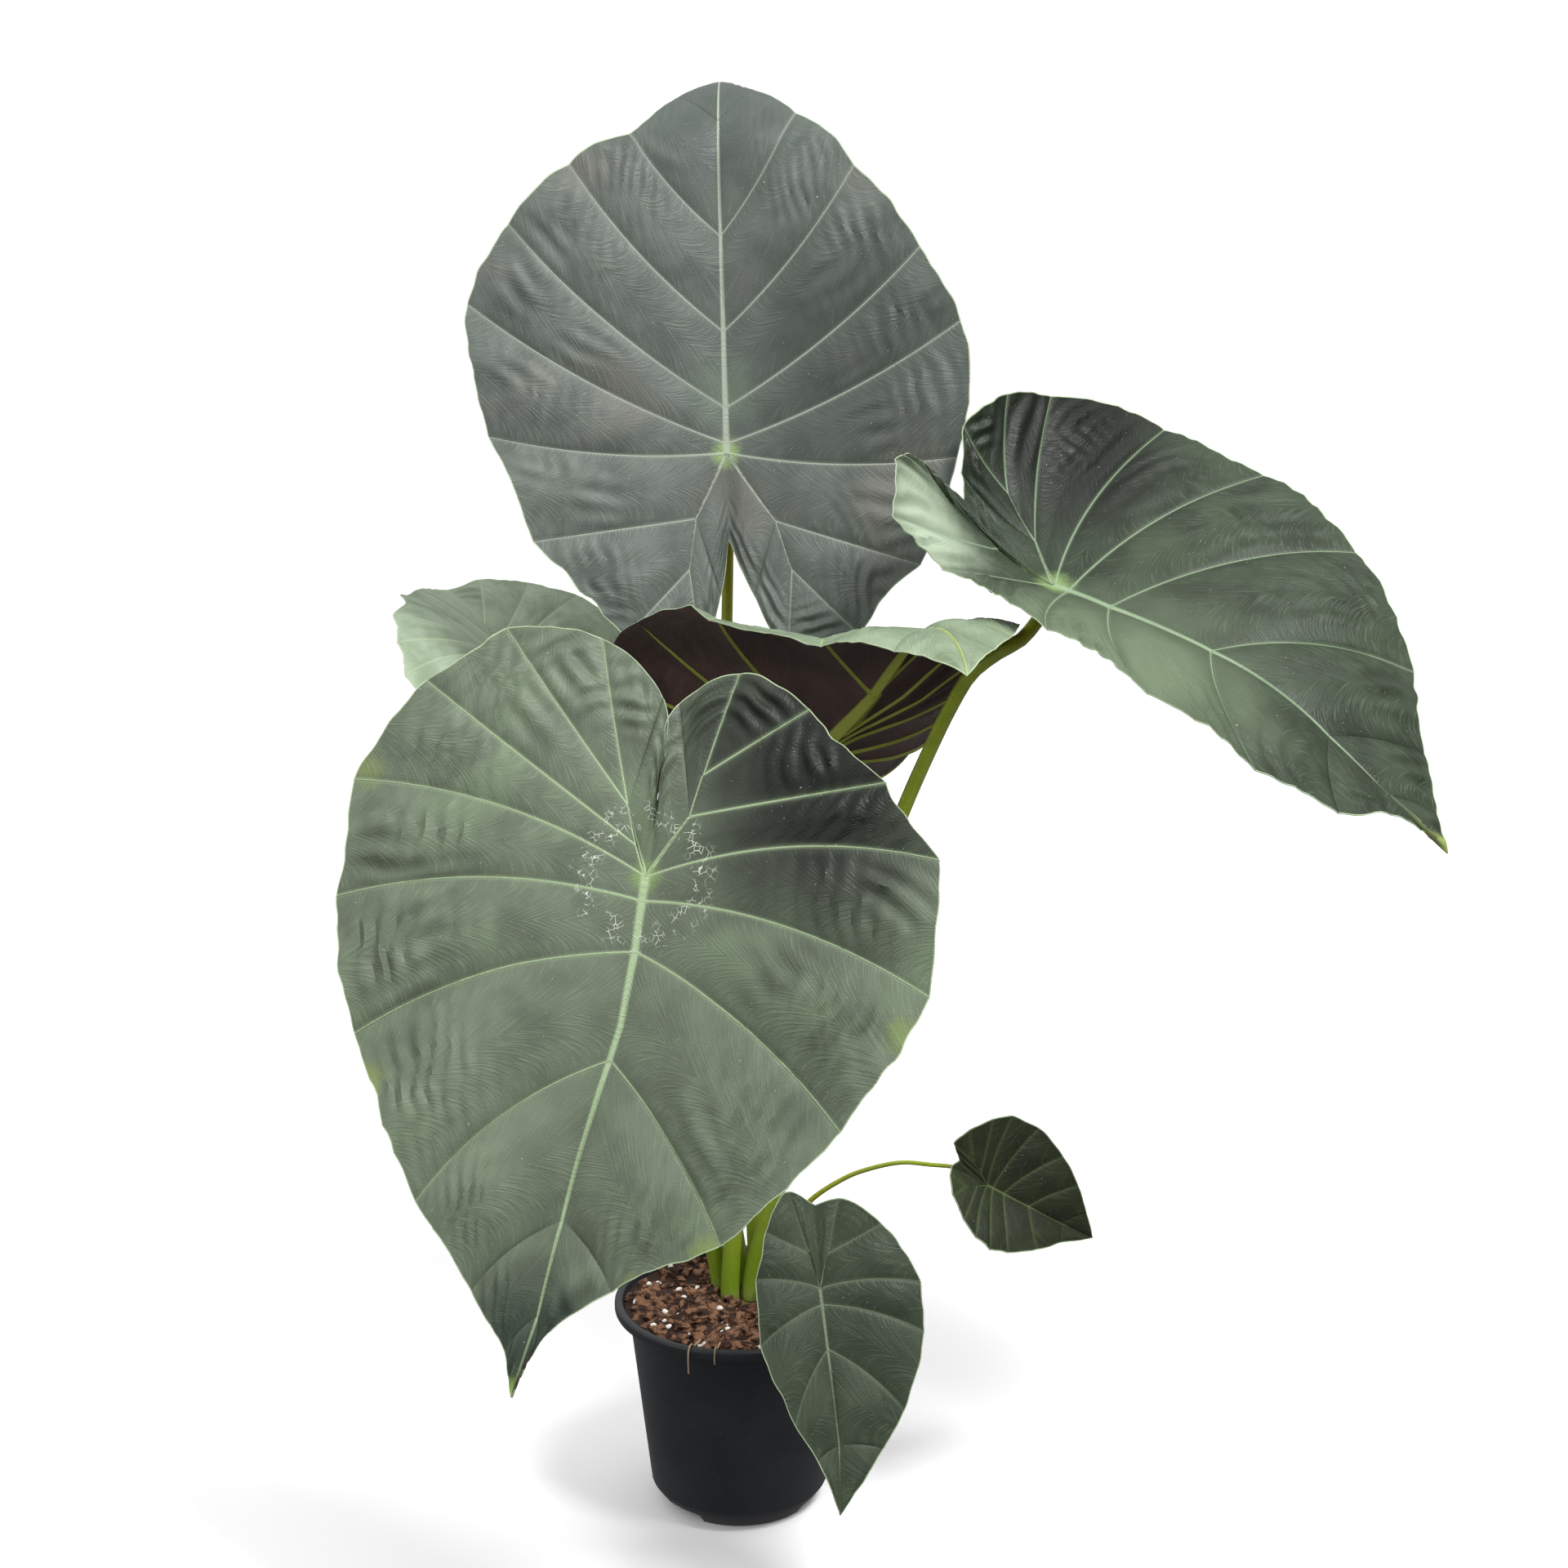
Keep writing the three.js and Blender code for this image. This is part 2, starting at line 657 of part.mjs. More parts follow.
// Potting mix: fills the pot, chips raised on its top by a seeded formula, plain hole for the crown
function soilSolid() {
  const holeRadius = CROWN_RADIUS + GAP;
  const edgeRadius = SOIL_EDGE_RADIUS - GAP;
  const lipFoot = POT_HEIGHT - POT_LIP_HEIGHT;
  const topRings = 9;
  const sides = 60;
  const holeFloor = CROWN_TOP - CROWN_HEIGHT - GAP;
  const rings = [];
  rings.push(circle(POT_FOOT_RADIUS - NOTCH_DEPTH - 1, POT_WALL + GAP, sides));
  rings.push(circle(wallRadius(POT_BASE_CHAMFER + 1) - POT_WALL - GAP, POT_BASE_CHAMFER + 1, sides));
  rings.push(circle(wallRadius(lipFoot) - POT_WALL - GAP, lipFoot - 3, sides));
  rings.push(circle(edgeRadius, SOIL_LEVEL, sides));
  const hole = circle(holeRadius, SOIL_LEVEL, sides).map(overCrown);
  const rim = circle(edgeRadius, SOIL_LEVEL, sides);
  for (let r = topRings - 1; r > 0; r -= 1) {
    rings.push(hole.map((point, k) => [
      point[0] + ((rim[k][0] - point[0]) * r) / topRings,
      point[1] + ((rim[k][1] - point[1]) * r) / topRings,
      SOIL_LEVEL + CHIP_RELIEF * (seeded(k, r) - 0.5),
    ]));
  }
  rings.push(hole);
  rings.push(hole.map(([x, y]) => [x, y, holeFloor]));
  const skin = ringSkin(rings, [0, 0, POT_WALL + GAP], [...CROWN_CENTRE, holeFloor]);
  return addSolid('potting_mix', skin.points, skin.triangles, POTTING_MIX);
}

// Crown: the short stem base that the leaf stalks stand on, mostly sunk in the mix
function crownSolid() {
  const sides = 32;
  const foot = CROWN_TOP - CROWN_HEIGHT;
  const rings = [
    circle(CROWN_RADIUS * 0.7, foot, sides),
    circle(CROWN_RADIUS, foot + 8, sides),
    circle(CROWN_RADIUS, CROWN_TOP, sides),
  ];
  const skin = ringSkin(rings, [0, 0, foot], [0, 0, CROWN_TOP]);
  return addSolid('crown', skin.points.map(overCrown), skin.triangles, CROWN_BROWN);
}

// Thin roots that have grown over the rim at the front
function rootSolid(name, azimuth, drop, radius) {
  const direction = [Math.sin(radians(azimuth)), -Math.cos(radians(azimuth))];
  const clear = radius + GAP;
  const path = [
    [SOIL_EDGE_RADIUS - 12, SOIL_LEVEL + CHIP_RELIEF + clear - 0.6],
    [SOIL_EDGE_RADIUS - 2, POT_HEIGHT - 1.5],
    [POT_RIM_RADIUS - 4, POT_HEIGHT + clear + 0.3],
    [POT_RIM_RADIUS - 1, POT_HEIGHT + clear],
    [POT_RIM_RADIUS + clear + 0.3, POT_HEIGHT - 3],
    [POT_RIM_RADIUS + clear + 0.2, POT_HEIGHT - 3 - drop],
  ].map(([out, height]) => new THREE.Vector3(out * direction[0], out * direction[1], height));
  const curve = new THREE.CatmullRomCurve3(path, false, 'centripetal');
  const steps = 14;
  const sides = 6;
  const frames = curve.computeFrenetFrames(steps, false);
  const rings = [];
  for (let k = 0; k <= steps; k += 1) {
    const middle = curve.getPointAt(k / steps);
    rings.push(Array.from({ length: sides }, (_, s) => middle.clone()
      .addScaledVector(frames.normals[k], radius * Math.cos((2 * Math.PI * s) / sides))
      .addScaledVector(frames.binormals[k], radius * Math.sin((2 * Math.PI * s) / sides))
      .toArray()));
  }
  const skin = ringSkin(rings, path[0].toArray(), path[path.length - 1].toArray());
  return addSolid(name, skin.points, skin.triangles, ROOT_TAN);
}

potSolid();
soilSolid();
crownSolid();
rootSolid('long_root', -22, 14, 0.7);
rootSolid('short_root', -10, 5, 0.6);

export default group;
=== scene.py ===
import math
import random

import bpy
from mathutils import Euler, Matrix, Vector, noise


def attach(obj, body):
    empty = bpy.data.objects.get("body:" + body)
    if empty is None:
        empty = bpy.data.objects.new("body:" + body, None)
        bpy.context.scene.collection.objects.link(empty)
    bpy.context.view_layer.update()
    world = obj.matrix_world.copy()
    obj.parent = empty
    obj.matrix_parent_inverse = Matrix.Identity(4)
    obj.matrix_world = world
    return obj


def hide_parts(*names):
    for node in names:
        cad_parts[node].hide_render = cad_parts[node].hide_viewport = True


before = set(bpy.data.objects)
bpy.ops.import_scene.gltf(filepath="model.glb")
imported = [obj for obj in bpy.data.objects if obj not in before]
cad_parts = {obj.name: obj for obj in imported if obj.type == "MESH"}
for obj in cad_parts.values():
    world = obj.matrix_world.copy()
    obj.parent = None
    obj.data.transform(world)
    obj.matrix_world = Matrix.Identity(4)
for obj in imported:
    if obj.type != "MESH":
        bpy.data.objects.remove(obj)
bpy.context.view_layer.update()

# Sizes are in millimetres, as in the part's own source. The origin is the middle of the pot's underside,
# +Z is up and the front faces -Y.

MM = 0.001

# Camera of the photograph
CAMERA_PLACE = (30, -1905, 1055)
CAMERA_TILT_DEG = 16.3
CAMERA_LENS_MM = 72
CAMERA_SENSOR_MM = 36

# Pot
POT_HEIGHT = 143
POT_FOOT_RADIUS = 49
POT_BASE_RADIUS = 57.5
POT_BASE_CHAMFER = 14
POT_BODY_TOP_RADIUS = 73
POT_RIM_RADIUS = 82.5
POT_WALL = 1.8
POT_LIP_HEIGHT = 8
NOTCH_COUNT = 3
NOTCH_WIDTH_DEG = 40
NOTCH_HEIGHT = 8
NOTCH_DEPTH = 9
NOTCH_ROUNDING = 3
FIRST_NOTCH_DEG = -138

# Potting mix and crown
GAP = 0.3
SOIL_LEVEL = 138
SOIL_EDGE_RADIUS = POT_RIM_RADIUS - 6
CROWN_RADIUS = 23.5
CROWN_HEIGHT = 34
CROWN_TOP = 136.5
CROWN_CENTRE = (1, 21)
STALK_FOOT = CROWN_TOP + GAP

# Blades
BLADE_THICKNESS = 0.9
HUB_RIDGE = 5
RIDGE_SPREAD = 12
SWAY_REACH = 60
FARTHEST_Y = 340
CURL_LENGTH = 100
BLADE_SMOOTHING_DEG = 50

TINY = 1e-6


def plain_deselect():
    if bpy.context.object and bpy.context.object.mode != "OBJECT":
        bpy.ops.object.mode_set(mode="OBJECT")
    bpy.ops.object.select_all(action="DESELECT")


# Leaf data. A blade is drawn flat, with its stalk at 0,0 and its tip along +y, and is then bent.
# A vein is (x and y where it leaves the midrib or lobe rib, x and y at the margin, ridge height).
# Each half lists its veins from the tip round to the notch between the lobes.
# size      coarseness of the veins and ripples, 1 for the largest leaf
# at        where the stalk meets the blade
# face      azimuth and rise that the upper face looks to, and turn of the tip, in degrees
# arch      (y, slope of the midrib in degrees)
# cup       (y, tilt beside the midrib in degrees, right half and left half)
# curl      (y, further bending in degrees per 100 mm, right half and left half)
# sway      (y, sideways shift of the midrib)
# midrib    its half-width at the hub
# folds     above 0 for more pleats, below 0 for more ripples
# ripple    height of the pleats and ripples, and calm_tip the share of it that is lost at the tip
# swing     how far a vein's middle stands off its straight line, as a share of its length
# bulge     how far the margin stands out between two veins

TOP_LEAF = {
    "tip": (0, 288),
    "notch": (0, -56),
    "size": 0.9,
    "right": [
        (0, 215, 24, 256, 0.3), (0, 139, 50, 222, 1), (0, 78, 87, 181, 1.6), (0, 29, 128, 128, 2),
        (0, 6, 153, 80, 2.2), (0, 0, 149, -8, 2.2), (31, -45, 124, -77, 1.6), (41, -77, 84, -121, 1.4),
        (41, -77, 38, -129, 1), (31, -45, 16, -93, 0.3),
    ],
    "left": [
        (0, 215, -28, 250, 0.3), (0, 139, -57, 207, 1), (0, 78, -96, 187, 1.6), (0, 29, -136, 150, 2),
        (0, 6, -164, 100, 2.2), (0, 0, -153, 14, 2.2), (-21, -42, -126, -55, 1.6),
        (-26, -75, -68, -118, 1.4), (-26, -75, -20, -127, 1), (-21, -42, -6, -92, 0.3),
    ],
    "at": (-7, 96, 692),
    "face": (-2, 15, -2),
    "arch": [(-150, -6), (0, 0), (120, 4), (190, -4), (245, -50), (285, -110)],
    "cup": [(-150, 12, 12), (0, 10, 10), (200, 6, 6), (245, -10, -12), (270, -14, -16)],
    "curl": [(0, -6, -6)],
    "midrib": 2.4,
    "folds": -0.1,
    "ripple": 1.1,
    "calm_tip": 0.8,
    "swing": {"right": 0.04, "left": 0.04},
    "bulge": {"right": [0, 3, 3, 2, 0, 2, -1, -7, -7, 0, 0],
              "left": [0, 0, 4, 2, 0, -2, -5, -6, 0, 0, 0]},
}

FRONT_LEAF = {
    "tip": (4, 306),
    "notch": (4, -37),
    "size": 1,
    "right": [
        (0, 256, 14, 281, 0.2), (0, 200, 41, 252, 0.3), (0, 106, 84, 212, 1.2), (0, 43, 144, 128, 1.8),
        (0, 14, 176, 54, 2.2), (0, 0, 184, -14, 2.2), (10, -16, 158, -79, 2), (21, -37, 121, -120, 1.6),
        (21, -37, 64, -128, 1.2), (21, -37, 19, -103, 0.3),
    ],
    "left": [
        (0, 256, -2, 280, 0.2), (0, 200, -42, 231, 0.3), (0, 106, -98, 190, 1.2), (0, 43, -150, 112, 1.8),
        (0, 14, -181, 28, 2.2), (0, 0, -168, -46, 2.2), (-17, -39, -127, -81, 1.8),
        (-18, -64, -71, -113, 1.4), (-18, -64, -22, -127, 1.2), (-17, -39, 9, -103, 0.3),
    ],
    "at": (-49, -200, 501),
    "face": (-14, 25, 189),
    "arch": [(-150, 12), (0, 0), (200, -5), (330, -10)],
    "cup": [(-150, 10, 14), (0, 8, 12), (300, 6, 8)],
    "curl": [(0, -5, -8)],
    "sway": [(-20, 0), (0, 0), (43, -5.5), (85, -8.5), (124, -5.5), (165, -3), (215, -1.5), (306, 0)],
    "midrib": 3.1,
    "folds": -0.2,
    "ripple": 1.35,
    "swing": {"right": 0.066, "left": 0.066},
    "bulge": {"right": [0, 1, -2, -5, -1, -6, -2, -5, -2, 0, 0],
              "left": [0, -2, -2, -1, -2, -4, -5, -4, 0, 0, 0]},
}

RIGHT_LEAF = {
    "tip": (-5, 300),
    "notch": (-10, -84),
    "size": 0.95,
    "right": [
        (0, 250, -1, 279, 0.2), (0, 200, 52, 236, 0.3), (0, 112, 88, 186, 1), (0, 40, 100, 118, 1.4),
        (0, 10, 84, 42, 1.6), (0, 0, 78, -50, 1.8), (-4, -45, 92, -112, 1.4), (0, -88, 50, -140, 1.2),
        (0, -88, 14, -125, 1), (-4, -45, -3, -100, 0.3),
    ],
    "left": [
        (0, 250, -21, 279, 0.2), (0, 200, -49, 249, 0.3), (0, 112, -95, 210, 1.2), (0, 40, -147, 132, 1.8),
        (0, 10, -174, 50, 2.2), (0, 0, -174, -30, 2.2), (-26, -32, -118, -106, 1.8),
        (-41, -69, -83, -126, 1.4), (-41, -69, -38, -124, 1.2), (-26, -32, -20, -99, 0.3),
    ],
    "at": (198, 0, 626),
    "face": (0, 70, 126),
    "arch": [(-150, -78), (0, 0), (100, -4), (200, -30), (300, -36)],
    "cup": [(-150, 16, 8), (0, 16, 8), (200, 6, 2)],
    "curl": [(0, 12, -2)],
    "midrib": 2.8,
    "folds": 0.25,
    "ripple": 1.3,
    "swing": {"right": 0.06, "left": 0.06},
    "bulge": {"right": [0, -2, -4, 2, -3, -5, -4, -2, -1, 0, 0],
              "left": [1, 2, -5, -4, 0, -5, 3, 0, 1, 0, -1]},
}

# The middle leaf turns its underside to the front and its tip is folded over forwards
MIDDLE_LEAF = {
    "tip": (0, 248),
    "notch": (0, -33),
    "size": 0.82,
    "right": [
        (0, 168, 35, 203, 0.3), (0, 84, 71, 157, 1.2), (0, 16, 120, 104, 1.8), (0, 5, 148, 36, 2.2),
        (0, 0, 150, -28, 2.2), (13, -25, 106, -62, 1.8), (25, -49, 74, -93, 1.4), (25, -49, 36, -103, 1.2),
        (13, -25, 10, -72, 0.3),
    ],
    "left": [
        (0, 168, -26, 210, 0.3), (0, 84, -42, 191, 1), (0, 16, -58, 166, 1.4), (0, 5, -66, 130, 1.8),
        (0, 0, -68, 92, 2), (0, 0, -98, 42, 2.2), (0, 0, -128, -26, 2.2), (-13, -25, -106, -62, 1.8),
        (-25, -49, -74, -93, 1.4), (-25, -49, -36, -103, 1.2), (-13, -25, -10, -72, 0.3),
    ],
    "at": (52, 38, 504),
    "face": (177, 41, -26),
    "arch": [(-123, -40), (0, 0), (50, -5), (100, 8), (140, 3), (180, -43), (246, -70)],
    "cup": [(-123, 5, 0), (0, 22, 0), (90, 13, -5), (150, -17, 33), (246, -32, 1)],
    "curl": [(0, -5, 58), (90, -4, 76), (150, -14, -40), (180, -19, -30)],
    "midrib": 2.4,
    "folds": 0,
    "ripple": 0.8,
    "swing": {"right": 0.1, "left": -0.12},
    "bulge": {"right": [0, 0, 0, 0, -3, -4, -3, -2, 0, 0],
              "left": [0, 0, 0, 0, 0, 0, 0, 0, 0, 0, 0, 0]},
}

# The back leaf's lobes are joined nearly to their ends
BACK_LEAF = {
    "tip": (0, 184),
    "notch": (-1, -91),
    "size": 0.62,
    "right": [
        (0, 125, 26, 151, 0.2), (0, 68, 53, 117, 1), (0, 29, 85, 70, 1.4), (0, 10, 104, 26, 1.8),
        (0, 0, 98, -20, 1.8), (10, -18, 79, -46, 1.4), (18, -37, 55, -69, 1.1), (18, -37, 27, -77, 1),
        (10, -18, 12, -90, 0.2),
    ],
    "left": [
        (0, 125, -26, 151, 0.2), (0, 68, -53, 117, 1), (0, 29, -85, 70, 1.4), (0, 10, -104, 26, 1.8),
        (0, 0, -98, -20, 1.8), (-10, -18, -79, -46, 1.4), (-18, -37, -55, -69, 1.1),
        (-18, -37, -27, -77, 1), (-10, -18, -14, -90, 0.2),
    ],
    "at": (-158, 165, 533),
    "face": (81, 50, 197),
    "arch": [(-90, 22), (0, 0), (61, -5), (122, -15), (183, -25)],
    "cup": [(-90, 7, 18), (0, 7, 18), (122, 10, 10)],
    "curl": [(0, -39, 16)],
    "midrib": 1.9,
    "folds": 0,
    "ripple": 0.8,
    "swing": {"right": 0.06, "left": 0.06},
    "bulge": {"right": [0, -1, -2, -2, -2, -2, -2, -1, 0, 0],
              "left": [0, -1, -2, -2, -2, -2, -2, -1, 0, 0]},
}

LOW_FRONT_LEAF = {
    "tip": (4, 138),
    "notch": (-4, -51),
    "size": 0.42,
    "right": [
        (0, 95, 15, 102, 0.2), (0, 37, 26, 80, 0.8), (0, 10, 42, 30, 1), (0, 0, 40, -10, 1.2),
        (3, -21, 30, -38, 0.9), (3, -21, 12, -61, 0.7),
    ],
    "left": [
        (0, 95, -27, 100, 0.2), (0, 37, -42, 79, 0.8), (0, 10, -60, 34, 1), (0, 0, -62, 4, 1.2),
        (-7, -20, -43, -34, 0.9), (-7, -20, -19, -53, 0.7),
    ],
    "at": (52, -150, 220),
    "face": (8, 26, 176),
    "arch": [(-60, 4), (0, 0), (60, -4), (150, -14)],
    "cup": [(-60, 10, 10), (0, 10, 10), (100, 8, 8)],
    "curl": [(0, -8, -8)],
    "midrib": 1.2,
    "folds": -0.2,
    "ripple": 0.5,
    "swing": {"right": 0.06, "left": 0.06},
    "bulge": {"right": [0, 0, -1, -1, -1, 0, 0],
              "left": [0, 0, -1, -1, -1, 0, 0]},
}

LOW_RIGHT_LEAF = {
    "tip": (-1, 91),
    "notch": (-6, -29),
    "size": 0.3,
    "right": [
        (0, 61, 12, 65, 0.2), (0, 34, 24, 48, 0.7), (0, 14, 37, 28, 1.1), (0, 5, 44, 8, 1.3),
        (0, 0, 42, -9, 1.3), (5, -9, 34, -21, 1), (9, -18, 20, -32, 0.8), (9, -18, 7, -34, 0.7),
        (5, -9, -1, -32, 0.2),
    ],
    "left": [
        (0, 61, -14, 74, 0.2), (0, 34, -27, 57, 0.7), (0, 14, -39, 38, 1.1), (0, 5, -48, 14, 1.3),
        (0, 0, -47, -8, 1.3), (-5, -9, -39, -21, 1), (-9, -18, -26, -34, 0.8), (-9, -18, -14, -40, 0.7),
        (-5, -9, -10, -35, 0.2),
    ],
    "at": (160, -50, 245),
    "face": (28, 6, 124),
    "arch": [(-45, -8), (0, 0), (30, 14), (60, 0), (90, -8)],
    "cup": [(-45, 40, 5), (0, 40, 5), (60, 18, 12)],
    "curl": [(0, -8, -10)],
    "midrib": 0.9,
    "folds": -0.2,
    "ripple": 0.5,
    "swing": {"right": 0.05, "left": 0.05},
    "bulge": {"right": [0, 0, 0, -1, 0, 0, 0, 0, 0, 0],
              "left": [0, 0, 0, 0, -1, 0, 0, 0, 0, 0]},
}


# Bending a flat leaf into its place

def reading(table, position, column=1):
    """Straight-line reading of a table of (position, value, ...) rows."""
    if position <= table[0][0]:
        return table[0][column]
    if position >= table[-1][0]:
        return table[-1][column]
    k = next(i for i, row in enumerate(table) if row[0] >= position)
    share = (position - table[k - 1][0]) / (table[k][0] - table[k - 1][0])
    return table[k - 1][column] + share * (table[k][column] - table[k - 1][column])


def blade_axes(face):
    azimuth, rise, clock = (math.radians(value) for value in face)
    out = Vector((math.cos(rise) * math.sin(azimuth), -math.cos(rise) * math.cos(azimuth), math.sin(rise)))
    up = (Vector((0, 0, 1)) - out * out.z).normalized()
    along = up * math.cos(clock) + up.cross(out) * math.sin(clock)
    return along.cross(out), along, out


def arch_line(leaf):
    """The midrib seen from the side: distance along, lift and slope for each millimetre of the leaf."""
    line = {0: (0.0, 0.0)}
    for direction in (1, -1):
        along, lift = 0.0, 0.0
        for step in range(1, FARTHEST_Y):
            y = direction * (step - 0.5)
            slope = math.radians(reading(leaf["arch"], y))
            along += direction * math.cos(slope)
            lift += direction * math.sin(slope)
            line[direction * step] = (along, lift)
    return line


class Bend:
    """Carries a point of a flat leaf, z above its upper face, to its place on the plant."""

    def __init__(self, leaf):
        self.leaf = leaf
        self.axes = blade_axes(leaf["face"])
        self.line = arch_line(leaf)

    def __call__(self, x, y, z):
        leaf = self.leaf
        side = 1 if x >= 0 else -1
        column = 1 if side > 0 else 2
        start = math.radians(reading(leaf["cup"], y, column))
        bend_rate = math.radians(reading(leaf["curl"], y, column)) / CURL_LENGTH or TINY
        reach = abs(x)
        end = start + bend_rate * reach
        sideways = (math.sin(end) - math.sin(start)) / bend_rate
        raised = (math.cos(start) - math.cos(end)) / bend_rate
        tilt = end * min(1, reach / RIDGE_SPREAD)
        across = side * (sideways - z * math.sin(tilt))
        if "sway" in leaf:
            across += reading(leaf["sway"], y) * (1 - min(1, reach / SWAY_REACH))
        above = raised + z * math.cos(tilt)
        slope = math.radians(reading(leaf["arch"], y))
        whole = math.floor(y)
        part = y - whole
        low, high = self.line[whole], self.line[whole + 1]
        along = low[0] + (high[0] - low[0]) * part
        lift = low[1] + (high[1] - low[1]) * part
        x_axis, y_axis, z_axis = self.axes
        return (Vector(leaf["at"]) + x_axis * across + y_axis * (along - above * math.sin(slope))
                + z_axis * (lift + above * math.cos(slope)))


# Veins and ribs, in millimetres on a leaf of size 1. The width of a rise or ridge is in half-widths of its
# vein or rib, and thinnings, ends and shares are parts of 1.

FAINTEST_VEIN = 0.3
WEAKEST_VEIN = 0.35
STRENGTH_PER_HEIGHT = 0.33
VEIN_HALF_WIDTH = 0.8
VEIN_RISE = 0.35
VEIN_RISE_WIDTH = 1.3
VEIN_RIDGE_WIDTH = 2.2
VEIN_THINNING = 0.6
RIDGE_THINNING = 0.85
RISE_START = 1.2
RIDGE_START = 6
FAR_FROM_VEIN = 9
MOST_INWARD_SWING = 0.18
RIB_RISE = 0.9
RIB_RISE_WIDTH = 1.2
RIB_RIDGE = 3
RIB_RIDGE_WIDTH = 1.9
RIB_END_WIDTH = 0.22
RIB_END_RIDGE = 0.08
LOBE_RIB_SHARE = 0.5
SEAM_RIB_SHARE = 0.2
HUB_SPREAD = 16

# Fields between neighbouring veins, in millimetres on a leaf of size 1

PILLOWING = 0.12
PLEAT_HEIGHT = 1.6
PLEAT_WIDTH = 17
PLEAT_DRIFT = 40
RIPPLE_HEIGHT = 1.5
RIPPLE_LENGTH = 12
RIPPLE_DRIFT = 22
PLEATED_AREA = 50
FLUTTER_HEIGHT = 3
FLUTTER_LENGTH = 45
CALM_TIP = 0.3
MARGIN_UNEVENNESS = 0.04
MARGIN_WAVE = 14
MARGIN_THICKNESS = 0.65
MARGIN_TAPER = 4
GRAIN_BOW = 2.4
GRAIN_STEP = 31
ACROSS_STEPS = [0, 0.012, 0.03, 0.055, 0.09, 0.135, 0.185, 0.235, 0.285, 0.335, 0.39, 0.445]
FIELD_ACROSS = ACROSS_STEPS + [0.5] + [1 - share for share in reversed(ACROSS_STEPS)]
LARGEST_ROWS = 60
FEWEST_ROWS = 24
ROW_CROWDING = 1.15


def smooth_step(low, high, value):
    share = min(1, max(0, (value - low) / (high - low)))
    return share * share * (3 - 2 * share)


def mix(a, b, share):
    return a[0] + (b[0] - a[0]) * share, a[1] + (b[1] - a[1]) * share


def gap_between(a, b):
    return math.hypot(a[0] - b[0], a[1] - b[1])


def cloud(x, y, size, layer):
    """Smooth random relief with forms about size millimetres across, between -1 and 1."""
    return noise.noise(Vector((x / size, y / size, layer)))


def swing_of(share, root, end):
    """How far a vein's middle stands off its straight line, in x and y; above 0 is away from the tip."""
    if root[0] != 0:
        return 0, 0
    across, along = end[0] - root[0], end[1] - root[1]
    side = 1 if across >= 0 else -1
    if share < 0 < along:
        share = max(share, -MOST_INWARD_SWING * abs(across) / along)
    return share * side * along, -share * side * across


def half_veins(leaf, half):
    veins = [{"root": leaf["tip"], "end": leaf["tip"], "height": 0, "swing": (0, 0)}]
    for x0, y0, x1, y1, height in leaf[half]:
        root, end = (x0, y0), (x1, y1)
        swing = swing_of(leaf["swing"][half], root, end)
        veins.append({"root": root, "end": end, "height": height, "swing": swing})
    veins.append({"root": (0, 0), "end": leaf["notch"], "height": 0, "swing": (0, 0)})
    return veins


def vein_point(vein, out):
    """Flat position on a vein, out 0..1 from its rib to the margin."""
    straight = mix(vein["root"], vein["end"], out)
    swing = 4 * out * (1 - out)
    return straight[0] + vein["swing"][0] * swing, straight[1] + vein["swing"][1] * swing


def tangent(before, here, after):
    """Way of a smooth line at one of its points, weighted by the distances to its neighbours."""
    back, ahead = gap_between(before, here), gap_between(here, after)
    if back * ahead == 0:
        return [(after[i] - before[i]) / max(back + ahead, TINY) for i in (0, 1)]
    return [((here[i] - before[i]) / back * ahead + (after[i] - here[i]) / ahead * back) / (back + ahead)
            for i in (0, 1)]


def margin_point(margin, k, share, bulge):
    """Smooth curve through the points of a margin, from point k to the next, standing out between them."""
    before, a, b = margin[max(k - 1, 0)], margin[k], margin[k + 1]
    after = margin[min(k + 2, len(margin) - 1)]
    leaving, arriving = tangent(before, a, b), tangent(a, b, after)
    span = gap_between(a, b)
    s2, s3 = share ** 2, share ** 3
    x, y = (
        (2 * s3 - 3 * s2 + 1) * a[i] + (s3 - 2 * s2 + share) * span * leaving[i]
        + (3 * s2 - 2 * s3) * b[i] + (s3 - s2) * span * arriving[i]
        for i in (0, 1))
    uneven = MARGIN_UNEVENNESS * span * cloud(x, y, MARGIN_WAVE, k)
    outward = (bulge + uneven) * math.sin(math.pi * share) / math.hypot(x, y)
    return x + x * outward, y + y * outward


def field_point(veins, k, share, out, bulge):
    """Flat position between veins k and k + 1, out 0..1 from the rib to the margin."""
    first, second = veins[k], veins[k + 1]
    margin = [vein["end"] for vein in veins]
    inner = mix(first["root"], second["root"], share)
    outer = margin_point(margin, k, share, bulge)
    sides = mix(vein_point(first, out), vein_point(second, out), share)
    corners = mix(inner, mix(first["end"], second["end"], share), out)
    rows = mix(inner, outer, out)
    return rows[0] + sides[0] - corners[0], rows[1] + sides[1] - corners[1]


def distance_to_rib(point, a, b):
    length = gap_between(a, b)
    if length < TINY:
        return gap_between(point, a)
    share = ((point[0] - a[0]) * (b[0] - a[0]) + (point[1] - a[1]) * (b[1] - a[1])) / length ** 2
    return gap_between(point, mix(a, b, min(1, max(0, share))))


def swelling(position):
    """Round profile of a vein: 1 in its middle and 0 at its edge."""
    return (1 - position ** 2) ** 2 if abs(position) < 1 else 0


def rib_taper(leaf, half, point):
    """1 at the hub, falling to 0 at the tip or at the end of a lobe rib."""
    if point[1] >= 0:
        return 1 - point[1] / leaf["tip"][1]
    limit = 1.05 * max(math.hypot(vein[0], vein[1]) for vein in leaf[half] if vein[1] < 0)
    return 1 - min(1, math.hypot(*point) / limit)


